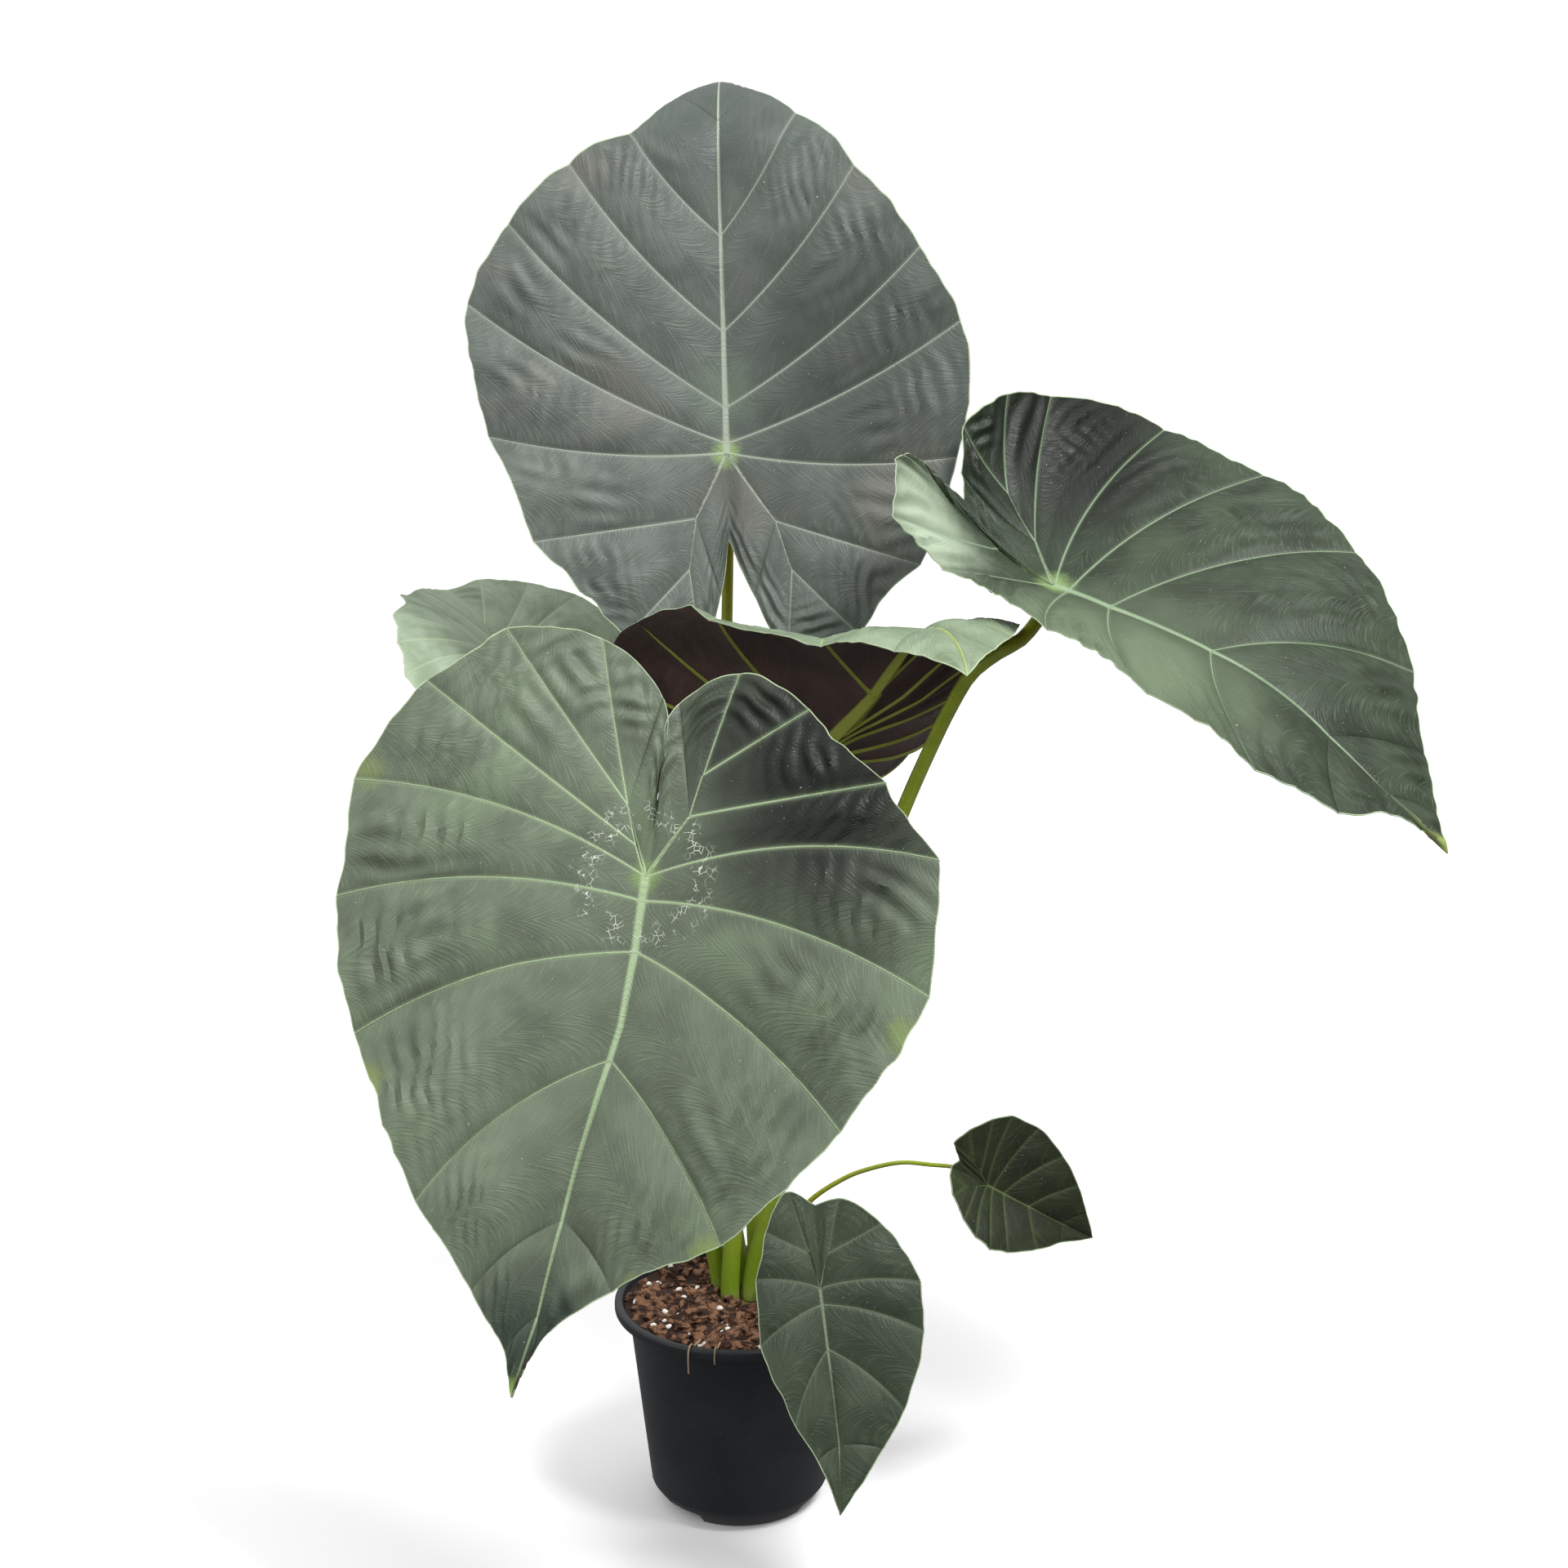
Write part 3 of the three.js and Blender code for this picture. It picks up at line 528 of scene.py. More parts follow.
def vein_profile(veins, k, share, out, run, width, size):
    """Distance in half-widths and in millimetres, rise and ridge of the veins on both sides of a point."""
    line, near, upper, ridge = FAR_FROM_VEIN, FAR_FROM_VEIN, 0.0, 0.0
    risen = smooth_step(0, RISE_START * size, run)
    grown = smooth_step(0, RIDGE_START * size, run)
    for vein, distance in ((veins[k], share * width), (veins[k + 1], (1 - share) * width)):
        if vein["height"] <= FAINTEST_VEIN:
            continue
        near = min(near, distance)
        strength = min(1, WEAKEST_VEIN + STRENGTH_PER_HEIGHT * vein["height"] / size)
        half_width = VEIN_HALF_WIDTH * size * strength * (1 - VEIN_THINNING * out)
        line = min(line, distance / half_width)
        upper = max(upper, VEIN_RISE * strength * risen * swelling(distance / half_width / VEIN_RISE_WIDTH))
        ridge = max(ridge, vein["height"] * grown * (1 - RIDGE_THINNING * out)
                    * swelling(distance / half_width / VEIN_RIDGE_WIDTH))
    return line, near, upper, ridge


def rib_profile(leaf, half, veins, k, share, place):
    """Distance in half-widths, rise and ridge of the midrib or lobe rib.

    In the field at the seam the other half's lobe rib counts too, so that both halves meet at one height.
    A lobe rib that runs along the seam is faint.
    """
    size = leaf["size"]
    first, second = veins[k], veins[k + 1]
    on_rib = mix(first["root"], second["root"], share)
    rib = distance_to_rib(place, first["root"], second["root"])
    if k == len(veins) - 2:
        other = leaf["left" if half == "right" else "right"][-1][:2]
        rib = min(rib, distance_to_rib(place, other, second["root"]))
    taper = rib_taper(leaf, half, on_rib)
    lean = smooth_step(0.05, 0.3, abs(on_rib[0]) / max(1, abs(on_rib[1])))
    lobe_share = 1 if on_rib[1] >= 0 else LOBE_RIB_SHARE * (SEAM_RIB_SHARE + (1 - SEAM_RIB_SHARE) * lean)
    rib_width = leaf["midrib"] * lobe_share * (RIB_END_WIDTH + (1 - RIB_END_WIDTH) * taper ** 1.5)
    along = RIB_RIDGE * size * (RIB_END_RIDGE + (1 - RIB_END_RIDGE) * taper) * lobe_share
    hub = (HUB_RIDGE - RIB_RIDGE * size) * smooth_step(HUB_SPREAD * size, 0, math.hypot(*on_rib))
    return (rib / rib_width,
            RIB_RISE * size * lobe_share * taper * swelling(rib / rib_width / RIB_RISE_WIDTH),
            (along + hub) * swelling(rib / rib_width / RIB_RIDGE_WIDTH))


def relief(leaf, place, share, out, run, width, to_seam, layer):
    """Valley depth and height of a field between veins: quilted, pleated and rippled towards the margin."""
    x, y = place
    size = leaf["size"]
    calm = 1 - leaf.get("calm_tip", CALM_TIP) * smooth_step(0.5, 0.85, y / leaf["tip"][1])
    arch = math.sin(math.pi * share)
    valley = (arch ** 2 if to_seam and share > 0.5 else arch ** 0.65) * math.sqrt(out)
    pillow = PILLOWING * width * valley * (1 - 0.55 * smooth_step(0.6, 1, out))
    outer = leaf["ripple"] * smooth_step(0.3, 0.8, out) * (1 - 0.6 * smooth_step(0.85, 1, out)) * arch ** 0.8
    drift = 4 * cloud(x, y, PLEAT_DRIFT * size, layer + 2)
    pleat = PLEAT_HEIGHT * math.sin(2 * math.pi * share * width / (PLEAT_WIDTH * size) + drift)
    drift = 3 * cloud(x, y, RIPPLE_DRIFT * size, layer + 5)
    wave = RIPPLE_HEIGHT * math.sin(2 * math.pi * run / (RIPPLE_LENGTH * size) + drift)
    pleated = smooth_step(-0.2, 0.2, cloud(x, y, PLEATED_AREA * size, layer + 7) + leaf["folds"])
    ripples = pleat * pleated + wave * (1 - pleated)
    flutter = FLUTTER_HEIGHT * leaf["ripple"] * smooth_step(0.5, 1, out) * arch
    flutter *= cloud(x, y, FLUTTER_LENGTH * size, layer + 9)
    return valley, (pillow + size * (ripples * outer + flutter)) * calm


def measure(leaf, half, veins, k, share, out, layer):
    """What one point of a blade is made of: flat place, relief, thickness and distances for the colours."""
    first, second = veins[k], veins[k + 1]
    place = field_point(veins, k, share, out, leaf["bulge"][half][k])
    width = gap_between(vein_point(first, out), vein_point(second, out))
    length = (gap_between(first["root"], first["end"]) * (1 - share)
              + gap_between(second["root"], second["end"]) * share)
    run = out * length
    inward = min(share, 1 - share) * width
    line, near, upper, ridge = vein_profile(veins, k, share, out, run, width, leaf["size"])
    edge = (1 - out) * length
    thinned = (1 - MARGIN_THICKNESS) * smooth_step(0, MARGIN_TAPER, edge)
    sheet = BLADE_THICKNESS * (MARGIN_THICKNESS + thinned)
    rib_line, rib_upper, rib_ridge = rib_profile(leaf, half, veins, k, share, place)
    valley, rise = relief(leaf, place, share, out, run, width, k == len(veins) - 2, layer)
    return {
        "flat": place,
        "rise": rise + max(upper, rib_upper),
        "thick": sheet + max(ridge, rib_ridge),
        "line": min(line, rib_line),
        "near": near,
        "edge": edge,
        "valley": valley,
        "grain": (run - GRAIN_BOW * inward ** 2 / (width + 1), inward, GRAIN_STEP * k + layer),
    }


POINT_FACTS = ("line", "near", "edge", "valley")
THICKEST = HUB_RIDGE + BLADE_THICKNESS


def half_blade(name, leaf, half, bend, layer):
    """One half of a blade as a grid: its columns go round from tip to notch, its rows from rib to margin."""
    veins = half_veins(leaf, half)
    steps = len(FIELD_ACROSS) - 1
    columns = (len(veins) - 1) * steps
    rows = max(FEWEST_ROWS, round(LARGEST_ROWS * leaf["size"]))
    plain_deselect()
    bpy.ops.mesh.primitive_grid_add(x_subdivisions=columns, y_subdivisions=rows, size=2)
    grid = bpy.context.object
    grid.name = name
    mesh = grid.data
    places, flats, grains, weights = [], [], [], []
    facts = {fact: [] for fact in POINT_FACTS}
    for vertex in mesh.vertices:
        i = round((vertex.co.x + 1) / 2 * columns)
        j = round((vertex.co.y + 1) / 2 * rows)
        if half == "left":
            i = columns - i
        k = min(i // steps, len(veins) - 2)
        out = (j / rows) ** ROW_CROWDING
        point = measure(leaf, half, veins, k, FIELD_ACROSS[i - k * steps], out, layer)
        x, y = point["flat"]
        places.extend(bend(x, y, point["rise"]) * MM)
        flats.extend((x, y, 0))
        grains.extend(point["grain"])
        weights.append(point["thick"] / THICKEST)
        for fact in POINT_FACTS:
            facts[fact].append(point[fact])
    mesh.vertices.foreach_set("co", places)
    for fact in POINT_FACTS:
        mesh.attributes.new(fact, "FLOAT", "POINT").data.foreach_set("value", facts[fact])
    mesh.attributes.new("flat", "FLOAT_VECTOR", "POINT").data.foreach_set("vector", flats)
    mesh.attributes.new("grain", "FLOAT_VECTOR", "POINT").data.foreach_set("vector", grains)
    mesh.attributes.new("thick", "FLOAT", "POINT").data.foreach_set("value", weights)
    mesh.update()
    return grid


MERGE_WITHIN = 0.002


def merge_close():
    bpy.ops.object.mode_set(mode="EDIT")
    bpy.ops.mesh.select_all(action="SELECT")
    bpy.ops.mesh.remove_doubles(threshold=MERGE_WITHIN * MM)
    bpy.ops.object.mode_set(mode="OBJECT")


def apply_modifier(piece, kind, **settings):
    modifier = piece.modifiers.new(kind.title(), kind)
    for key, value in settings.items():
        setattr(modifier, key, value)
    bpy.ops.object.modifier_apply(modifier=modifier.name)


def make_current(piece):
    plain_deselect()
    piece.select_set(True)
    bpy.context.view_layer.objects.active = piece


def hand_over(piece, node):
    """Gives a finished piece its place in the frame."""
    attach(piece, "root")
    if node:
        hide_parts(node)


def settle(piece, material, node):
    """Gives a piece its one material and hands it over."""
    piece.data.materials.clear()
    piece.data.materials.append(material)
    hand_over(piece, node)


def blade(name, leaf, materials):
    """Both halves joined, then thickened downwards with raised veins on the underside."""
    bend = Bend(leaf)
    layer = len(name) + leaf["size"]
    piece = half_blade(name, leaf, "right", bend, layer)
    left = half_blade(name + "_left", leaf, "left", bend, layer)
    make_current(piece)
    left.select_set(True)
    bpy.ops.object.join()
    merge_close()
    group = piece.vertex_groups.new(name="thick")
    for vertex, value in zip(piece.data.vertices, piece.data.attributes["thick"].data):
        group.add([vertex.index], value.value, "REPLACE")
    for material in materials:
        piece.data.materials.append(material)
    apply_modifier(piece, "SOLIDIFY", thickness=THICKEST * MM, offset=-1, vertex_group="thick",
                   material_offset=1, material_offset_rim=2)
    bpy.ops.object.shade_smooth_by_angle(angle=math.radians(BLADE_SMOOTHING_DEG))
    piece.vertex_groups.clear()
    hand_over(piece, name + "_blade")


# Leaf stalks

def centripetal(points, per_span):
    """Smooth line through the points, the same curve as the part's own."""
    ends = [2 * points[0] - points[1], *points, 2 * points[-1] - points[-2]]
    line = []
    for k in range(1, len(ends) - 2):
        a, b, c, d = ends[k - 1:k + 3]
        t1 = max((b - a).length, 1e-4) ** 0.5
        t2 = max((c - b).length, 1e-4) ** 0.5
        t3 = max((d - c).length, 1e-4) ** 0.5
        leaving = ((b - a) / t1 - (c - a) / (t1 + t2) + (c - b) / t2) * t2
        arriving = ((c - b) / t2 - (d - b) / (t2 + t3) + (d - c) / t3) * t2
        for step in range(per_span):
            s = step / per_span
            line.append((2 * s ** 3 - 3 * s ** 2 + 1) * b + (s ** 3 - 2 * s ** 2 + s) * leaving
                        + (3 * s ** 2 - 2 * s ** 3) * c + (s ** 3 - s ** 2) * arriving)
    line.append(points[-1].copy())
    return line


def evenly(line, count):
    """Points and tangents at even distances along a line."""
    reached = [0.0]
    for a, b in zip(line, line[1:]):
        reached.append(reached[-1] + (b - a).length)
    places, tangents = [], []
    k = 0
    for step in range(count + 1):
        goal = reached[-1] * step / count
        while k < len(line) - 2 and reached[k + 1] < goal:
            k += 1
        share = (goal - reached[k]) / (reached[k + 1] - reached[k])
        places.append(line[k].lerp(line[k + 1], share))
        low, high = max(k - 1, 0), min(k + 2, len(line) - 1)
        tangents.append((line[high] - line[low]).normalized())
    return places, tangents


def tube_rings(places, tangents, sides, radius_at):
    """Rings of points round a line; radius_at takes the share of the way along and the angle."""
    normal = tangents[0].orthogonal().normalized()
    rings = []
    for k, (place, tangent) in enumerate(zip(places, tangents)):
        normal = (normal - tangent * normal.dot(tangent)).normalized()
        other = tangent.cross(normal)
        share = k / (len(places) - 1)
        ring = []
        for s in range(sides):
            angle = 2 * math.pi * s / sides
            radius = radius_at(share, angle)
            ring.append(place + normal * (radius * math.cos(angle)) + other * (radius * math.sin(angle)))
        rings.append(ring)
    return rings


def rolled(name, rings):
    """A grid rolled into a closed tube over the rings of points, its ends filled."""
    sides = len(rings[0])
    plain_deselect()
    bpy.ops.mesh.primitive_grid_add(x_subdivisions=sides, y_subdivisions=len(rings) - 1, size=2)
    tube = bpy.context.object
    tube.name = name
    places, values = [], []
    for vertex in tube.data.vertices:
        i = round((vertex.co.x + 1) / 2 * sides) % sides
        j = round((vertex.co.y + 1) / 2 * (len(rings) - 1))
        places.extend(rings[j][i] * MM)
        values.append(j / (len(rings) - 1))
    tube.data.vertices.foreach_set("co", places)
    tube.data.attributes.new("height", "FLOAT", "POINT").data.foreach_set("value", values)
    tube.data.update()
    merge_close()
    bpy.ops.object.mode_set(mode="EDIT")
    bpy.ops.mesh.select_all(action="DESELECT")
    bpy.ops.mesh.select_non_manifold()
    bpy.ops.mesh.edge_face_add()
    bpy.ops.mesh.select_all(action="SELECT")
    bpy.ops.mesh.normals_make_consistent(inside=False)
    bpy.ops.object.mode_set(mode="OBJECT")
    bpy.ops.object.shade_smooth_by_angle(angle=math.radians(40))
    return tube


STALK_RINGS = 64
STALK_SIDES = 28
STALK_RIBS = 9
STALK_RIB_DEPTH = 0.035
STALK_TAPER = 1.6
LEAD_SHARE = 0.4
CURVE_STEPS = 24
FOOT_CLEARANCE = 0.2

# (x, y, radius) of each stalk's foot, which the chips keep clear of
FEET = []


def stalk(leaf_name, leaf, route, arrival, base_radius, top_radius):
    """The leaf's stalk, from its foot on the crown along the route to the underside of the blade."""
    bend = Bend(leaf)
    join = bend(0, 0, -BLADE_THICKNESS - HUB_RIDGE - GAP)
    lead = [join + Vector(arrival), join + LEAD_SHARE * Vector(arrival)]
    stops = [Vector(point) for point in route] + lead + [join]
    places, tangents = evenly(centripetal(stops, CURVE_STEPS), STALK_RINGS)

    def radius_at(share, angle):
        radius = top_radius + (base_radius - top_radius) * (1 - share) ** STALK_TAPER
        return radius * (1 - STALK_RIB_DEPTH * (1 + math.cos(STALK_RIBS * angle)) * (1 - 0.5 * share))

    rings = tube_rings(places, tangents, STALK_SIDES, radius_at)
    for point in rings[0]:
        point.z = stops[0].z
    z_axis = bend.axes[2]
    for k, slide in ((STALK_RINGS, 1), (STALK_RINGS - 1, LEAD_SHARE)):
        for point in rings[k]:
            above = (point - places[k]).dot(z_axis) / tangents[k].dot(z_axis)
            point -= tangents[k] * above * slide
    FEET.append((stops[0].x, stops[0].y, base_radius + FOOT_CLEARANCE))
    settle(rolled(leaf_name + "_petiole", rings), STALK_SKIN, leaf_name + "_stalk")


# Pot

def wall_radius(height):
    share = height / (POT_HEIGHT - POT_LIP_HEIGHT)
    return POT_BASE_RADIUS + (POT_BODY_TOP_RADIUS - POT_BASE_RADIUS) * share


def lathed(name, profile, sides):
    """A disc extruded and resized from station to station of a closed profile of (radius, height)."""
    plain_deselect()
    radius, height = profile[0]
    bpy.ops.mesh.primitive_circle_add(vertices=sides, radius=radius * MM, fill_type="NGON",
                                      location=(0, 0, height * MM))
    piece = bpy.context.object
    piece.name = name
    bpy.ops.object.transform_apply(location=True, rotation=False, scale=False)
    bpy.ops.object.mode_set(mode="EDIT")
    bpy.ops.mesh.select_all(action="SELECT")
    for (radius, height), (next_radius, next_height) in zip(profile, profile[1:]):
        bpy.ops.mesh.extrude_region_move(
            TRANSFORM_OT_translate={"value": (0, 0, (next_height - height) * MM)})
        growth = next_radius / radius
        bpy.ops.transform.resize(value=(growth, growth, 1), center_override=(0, 0, 0))
    bpy.ops.mesh.select_all(action="SELECT")
    bpy.ops.mesh.normals_make_consistent(inside=False)
    bpy.ops.object.mode_set(mode="OBJECT")
    return piece


def arc(centre, radius, start_deg, end_deg, steps):
    """Points of an arc in the profile plane."""
    points = []
    for k in range(steps + 1):
        angle = math.radians(start_deg + (end_deg - start_deg) * k / steps)
        points.append((centre[0] + radius * math.cos(angle), centre[1] + radius * math.sin(angle)))
    return points


POT_SIDES = 128
CUTTER_OUTWARD = 15
CUTTER_BELOW = 6


def notch_cutter(middle_deg):
    """A block with rounded corners that cuts one drainage notch in the pot's bottom edge."""
    bpy.ops.mesh.primitive_cube_add(size=2)
    cutter = bpy.context.object
    for vertex in cutter.data.vertices:
        angle = math.radians(middle_deg + vertex.co.x * NOTCH_WIDTH_DEG / 2)
        radius = POT_FOOT_RADIUS + (CUTTER_OUTWARD if vertex.co.y > 0 else -NOTCH_DEPTH)
        height = NOTCH_HEIGHT if vertex.co.z > 0 else -CUTTER_BELOW
        vertex.co = Vector((radius * math.cos(angle), radius * math.sin(angle), height)) * MM
    bpy.ops.object.mode_set(mode="EDIT")
    bpy.ops.mesh.select_all(action="SELECT")
    bpy.ops.mesh.normals_make_consistent(inside=False)
    bpy.ops.mesh.bevel(offset=NOTCH_ROUNDING * MM, segments=4)
    bpy.ops.object.mode_set(mode="OBJECT")
    return cutter


def pot():
    """Round nursery pot: foot, chamfer, tapering wall, rolled lip, and the inside down to the floor."""
    lip_foot = POT_HEIGHT - POT_LIP_HEIGHT
    profile = [(POT_FOOT_RADIUS - 1, 0), (POT_FOOT_RADIUS + 0.5, 0.7)]
    profile += [(wall_radius(POT_BASE_CHAMFER) - 0.6, POT_BASE_CHAMFER - 0.8),
                (wall_radius(POT_BASE_CHAMFER), POT_BASE_CHAMFER + 0.6)]
    profile += [(wall_radius(height), height) for height in (45, 75, 105)]
    profile += [(POT_BODY_TOP_RADIUS - 0.2, lip_foot - 1), (POT_BODY_TOP_RADIUS + 0.6, lip_foot)]
    profile += [(POT_RIM_RADIUS - 2.6, lip_foot + 0.8)]
    profile += arc((POT_RIM_RADIUS - 2, lip_foot + 3), 2, -70, 0, 4)
    profile += arc((POT_RIM_RADIUS - 2, POT_HEIGHT - 2), 2, 0, 90, 6)
    profile += arc((POT_RIM_RADIUS - 4, POT_HEIGHT - 1.5), 1.5, 95, 160, 3)
    profile += [(SOIL_EDGE_RADIUS + 0.2, SOIL_LEVEL + 1), (SOIL_EDGE_RADIUS - 0.3, SOIL_LEVEL)]
    profile += [(wall_radius(lip_foot) - POT_WALL, lip_foot - 3),
                (wall_radius(POT_BASE_CHAMFER) - POT_WALL, POT_BASE_CHAMFER),
                (POT_FOOT_RADIUS - POT_WALL, POT_WALL)]
    piece = lathed("nursery_pot", profile, POT_SIDES)
    for k in range(NOTCH_COUNT):
        plain_deselect()
        cutter = notch_cutter(FIRST_NOTCH_DEG + 360 * k / NOTCH_COUNT)
        make_current(piece)
        apply_modifier(piece, "BOOLEAN", object=cutter, operation="DIFFERENCE", solver="EXACT")
        bpy.data.objects.remove(cutter)
    bpy.ops.object.shade_smooth_by_angle(angle=math.radians(32))
    settle(piece, pot_plastic(), "pot")


# Potting mix, crown and roots

SOIL_SIDES = 120
SOIL_RINGS = 26
CHIP_COUNT = 420
PERLITE_COUNT = 48
CHIP_FORMS = 6
PERLITE_FORMS = 4
UNEVENNESS = 0.13
CHIP_SIZES = ((5, 13), (3.5, 8), (2.6, 5))
PERLITE_SIZES = ((2.6, 5.5), (2.6, 5.5), (2.2, 4.2))
CHIP_LEVELS = (-1.4, 1.2)
PERLITE_LEVELS = (0.4, 2.2)
LYING_SLOPE = 0.3
MIX_SEED = 12


def soil_relief(x, y):
    """Rough top of the mix between the chips."""
    coarse = noise.noise(Vector((x / 7, y / 7, 3.1)))
    fine = noise.noise(Vector((x / 2.6, y / 2.6, 9.4)))
    return 1.5 * coarse + 0.8 * fine


def potting_mix():
    """Body of the mix, from the pot's floor up to its rough top and down round the crown."""
    edge = SOIL_EDGE_RADIUS - GAP - 0.2
    lip_foot = POT_HEIGHT - POT_LIP_HEIGHT
    hole_floor = CROWN_TOP - CROWN_HEIGHT - GAP

    def ring(radius, height, centre=(0, 0)):
        x, y = centre
        angles = [2 * math.pi * s / SOIL_SIDES for s in range(SOIL_SIDES)]
        return [Vector((x + radius * math.cos(angle), y + radius * math.sin(angle), height))
                for angle in angles]

    rings = [
        ring(POT_FOOT_RADIUS - NOTCH_DEPTH - 1, POT_WALL + GAP),
        ring(wall_radius(POT_BASE_CHAMFER + 1) - POT_WALL - GAP, POT_BASE_CHAMFER + 1),
        ring(wall_radius(lip_foot) - POT_WALL - GAP - 0.2, lip_foot - 3.2),
    ]
    outer, hole = ring(edge, SOIL_LEVEL), ring(CROWN_RADIUS + GAP, SOIL_LEVEL, CROWN_CENTRE)
    for r in range(SOIL_RINGS + 1):
        row = [a.lerp(b, r / SOIL_RINGS) for a, b in zip(outer, hole)]
        for point in row:
            point.z += soil_relief(point.x, point.y) * (0 if r == 0 else 1)
        rings.append(row)
    rings.append(ring(CROWN_RADIUS + GAP, hole_floor, CROWN_CENTRE))
    settle(rolled("mix_body", rings), mix_fines(), "potting_mix")


def crown():
    """The short brown stem base, its top rough with old leaf scars."""
    foot = CROWN_TOP - CROWN_HEIGHT

    def ring(radius, height):
        points = []
        for s in range(64):
            angle = 2 * math.pi * s / 64
            point = Vector((CROWN_CENTRE[0] + radius * math.cos(angle),
                            CROWN_CENTRE[1] + radius * math.sin(angle), height))
            if height >= CROWN_TOP - 1:
                point.z -= 0.9 * abs(noise.noise(point / 3.2))
            points.append(point)
        return points

    rings = [ring(CROWN_RADIUS * 0.7, foot), ring(CROWN_RADIUS - 0.2, foot + 8),
             ring(CROWN_RADIUS - 0.2, CROWN_TOP - 4), ring(CROWN_RADIUS - 0.7, CROWN_TOP - 1.4)]
    rings += [ring(CROWN_RADIUS * share, CROWN_TOP - 0.2)
              for share in (0.93, 0.8, 0.65, 0.5, 0.35, 0.2, 0.08)]
    settle(rolled("crown_mound", rings), crown_skin(), "crown")


def root(name, azimuth_deg, drop, radius):
    """A thin root that lies on the mix, crosses the rim and hangs down outside by drop."""
    direction = (math.sin(math.radians(azimuth_deg)), -math.cos(math.radians(azimuth_deg)))
    clear = radius + GAP
    path = [
        (SOIL_EDGE_RADIUS - 12, SOIL_LEVEL + 2.6 + clear - 0.6),
        (SOIL_EDGE_RADIUS - 2, POT_HEIGHT - 1.5),
        (POT_RIM_RADIUS - 4, POT_HEIGHT + clear + 0.3),
        (POT_RIM_RADIUS - 1, POT_HEIGHT + clear),
        (POT_RIM_RADIUS + clear + 0.3, POT_HEIGHT - 3),
        (POT_RIM_RADIUS + clear + 0.2, POT_HEIGHT - 3 - drop),
    ]
    stops = [Vector((out * direction[0], out * direction[1], height)) for out, height in path]
    places, tangents = evenly(centripetal(stops, 16), 48)

    def radius_at(share, angle):
        return radius * (1 - 0.25 * share + 0.12 * noise.noise(Vector((share * 30, azimuth_deg, 0))))

    settle(rolled(name + "_strand", tube_rings(places, tangents, 10, radius_at)), ROOT_SKIN, name)


def chip_masters(draw):
    """Angular bark chips, a few forms to copy."""
    masters = []
    for _ in range(CHIP_FORMS):
        plain_deselect()
        bpy.ops.mesh.primitive_cube_add(size=1)
        chip = bpy.context.object
        bpy.ops.object.mode_set(mode="EDIT")
        bpy.ops.mesh.select_all(action="SELECT")
        bpy.ops.mesh.subdivide(number_cuts=1)
        bpy.ops.object.mode_set(mode="OBJECT")
        for vertex in chip.data.vertices:
            vertex.co += Vector((draw.uniform(-1, 1), draw.uniform(-1, 1), draw.uniform(-1, 1))) * UNEVENNESS
        masters.append(chip)
    return masters


def perlite_masters(draw):
    """Rounded perlite grains, a few forms to copy."""
    masters = []
    for _ in range(PERLITE_FORMS):
        plain_deselect()
        bpy.ops.mesh.primitive_ico_sphere_add(subdivisions=2, radius=0.5)
        grain = bpy.context.object
        for vertex in grain.data.vertices:
            vertex.co *= 1 + draw.uniform(-UNEVENNESS, UNEVENNESS)
        masters.append(grain)
    return masters


def scattered(name, masters, count, sizes, levels, draw, material):
    """Copies of the masters strewn over the potting mix, kept clear of the stalks and the rim."""
    copies = []
    while len(copies) < count:
        size = [draw.uniform(low, high) for low, high in sizes]
        reach = max(size) / 2
        angle = draw.uniform(0, 2 * math.pi)
        radius = (SOIL_EDGE_RADIUS - 0.8 - reach) * math.sqrt(draw.random())
        x, y = radius * math.cos(angle), radius * math.sin(angle)
        if any(math.hypot(x - fx, y - fy) < foot + reach for fx, fy, foot in FEET):
            continue
        copy = draw.choice(masters).copy()
        copy.data = copy.data.copy()
        bpy.context.collection.objects.link(copy)
        turn = Euler((draw.gauss(0, LYING_SLOPE), draw.gauss(0, LYING_SLOPE), draw.uniform(0, 2 * math.pi)))
        place = Matrix.Translation(Vector((x, y, SOIL_LEVEL + draw.uniform(*levels))) * MM)
        scaled = Matrix.Diagonal((*(value * MM for value in size), 1))
        copy.data.transform(place @ turn.to_matrix().to_4x4() @ scaled)
        copies.append(copy)
    piece = copies[0]
    make_current(piece)
    for copy in copies:
        copy.select_set(True)
    bpy.ops.object.join()
    piece.name = name
    for master in masters:
        bpy.data.objects.remove(master)
    settle(piece, material, None)


# Materials

def srgb(code):
    """Linear colour of a hex code such as 4f6150."""
    def linear(value):
        return value / 12.92 if value <= 0.04045 else ((value + 0.055) / 1.055) ** 2.4

    return (*(linear(int(code[k:k + 2], 16) / 255) for k in (0, 2, 4)), 1)


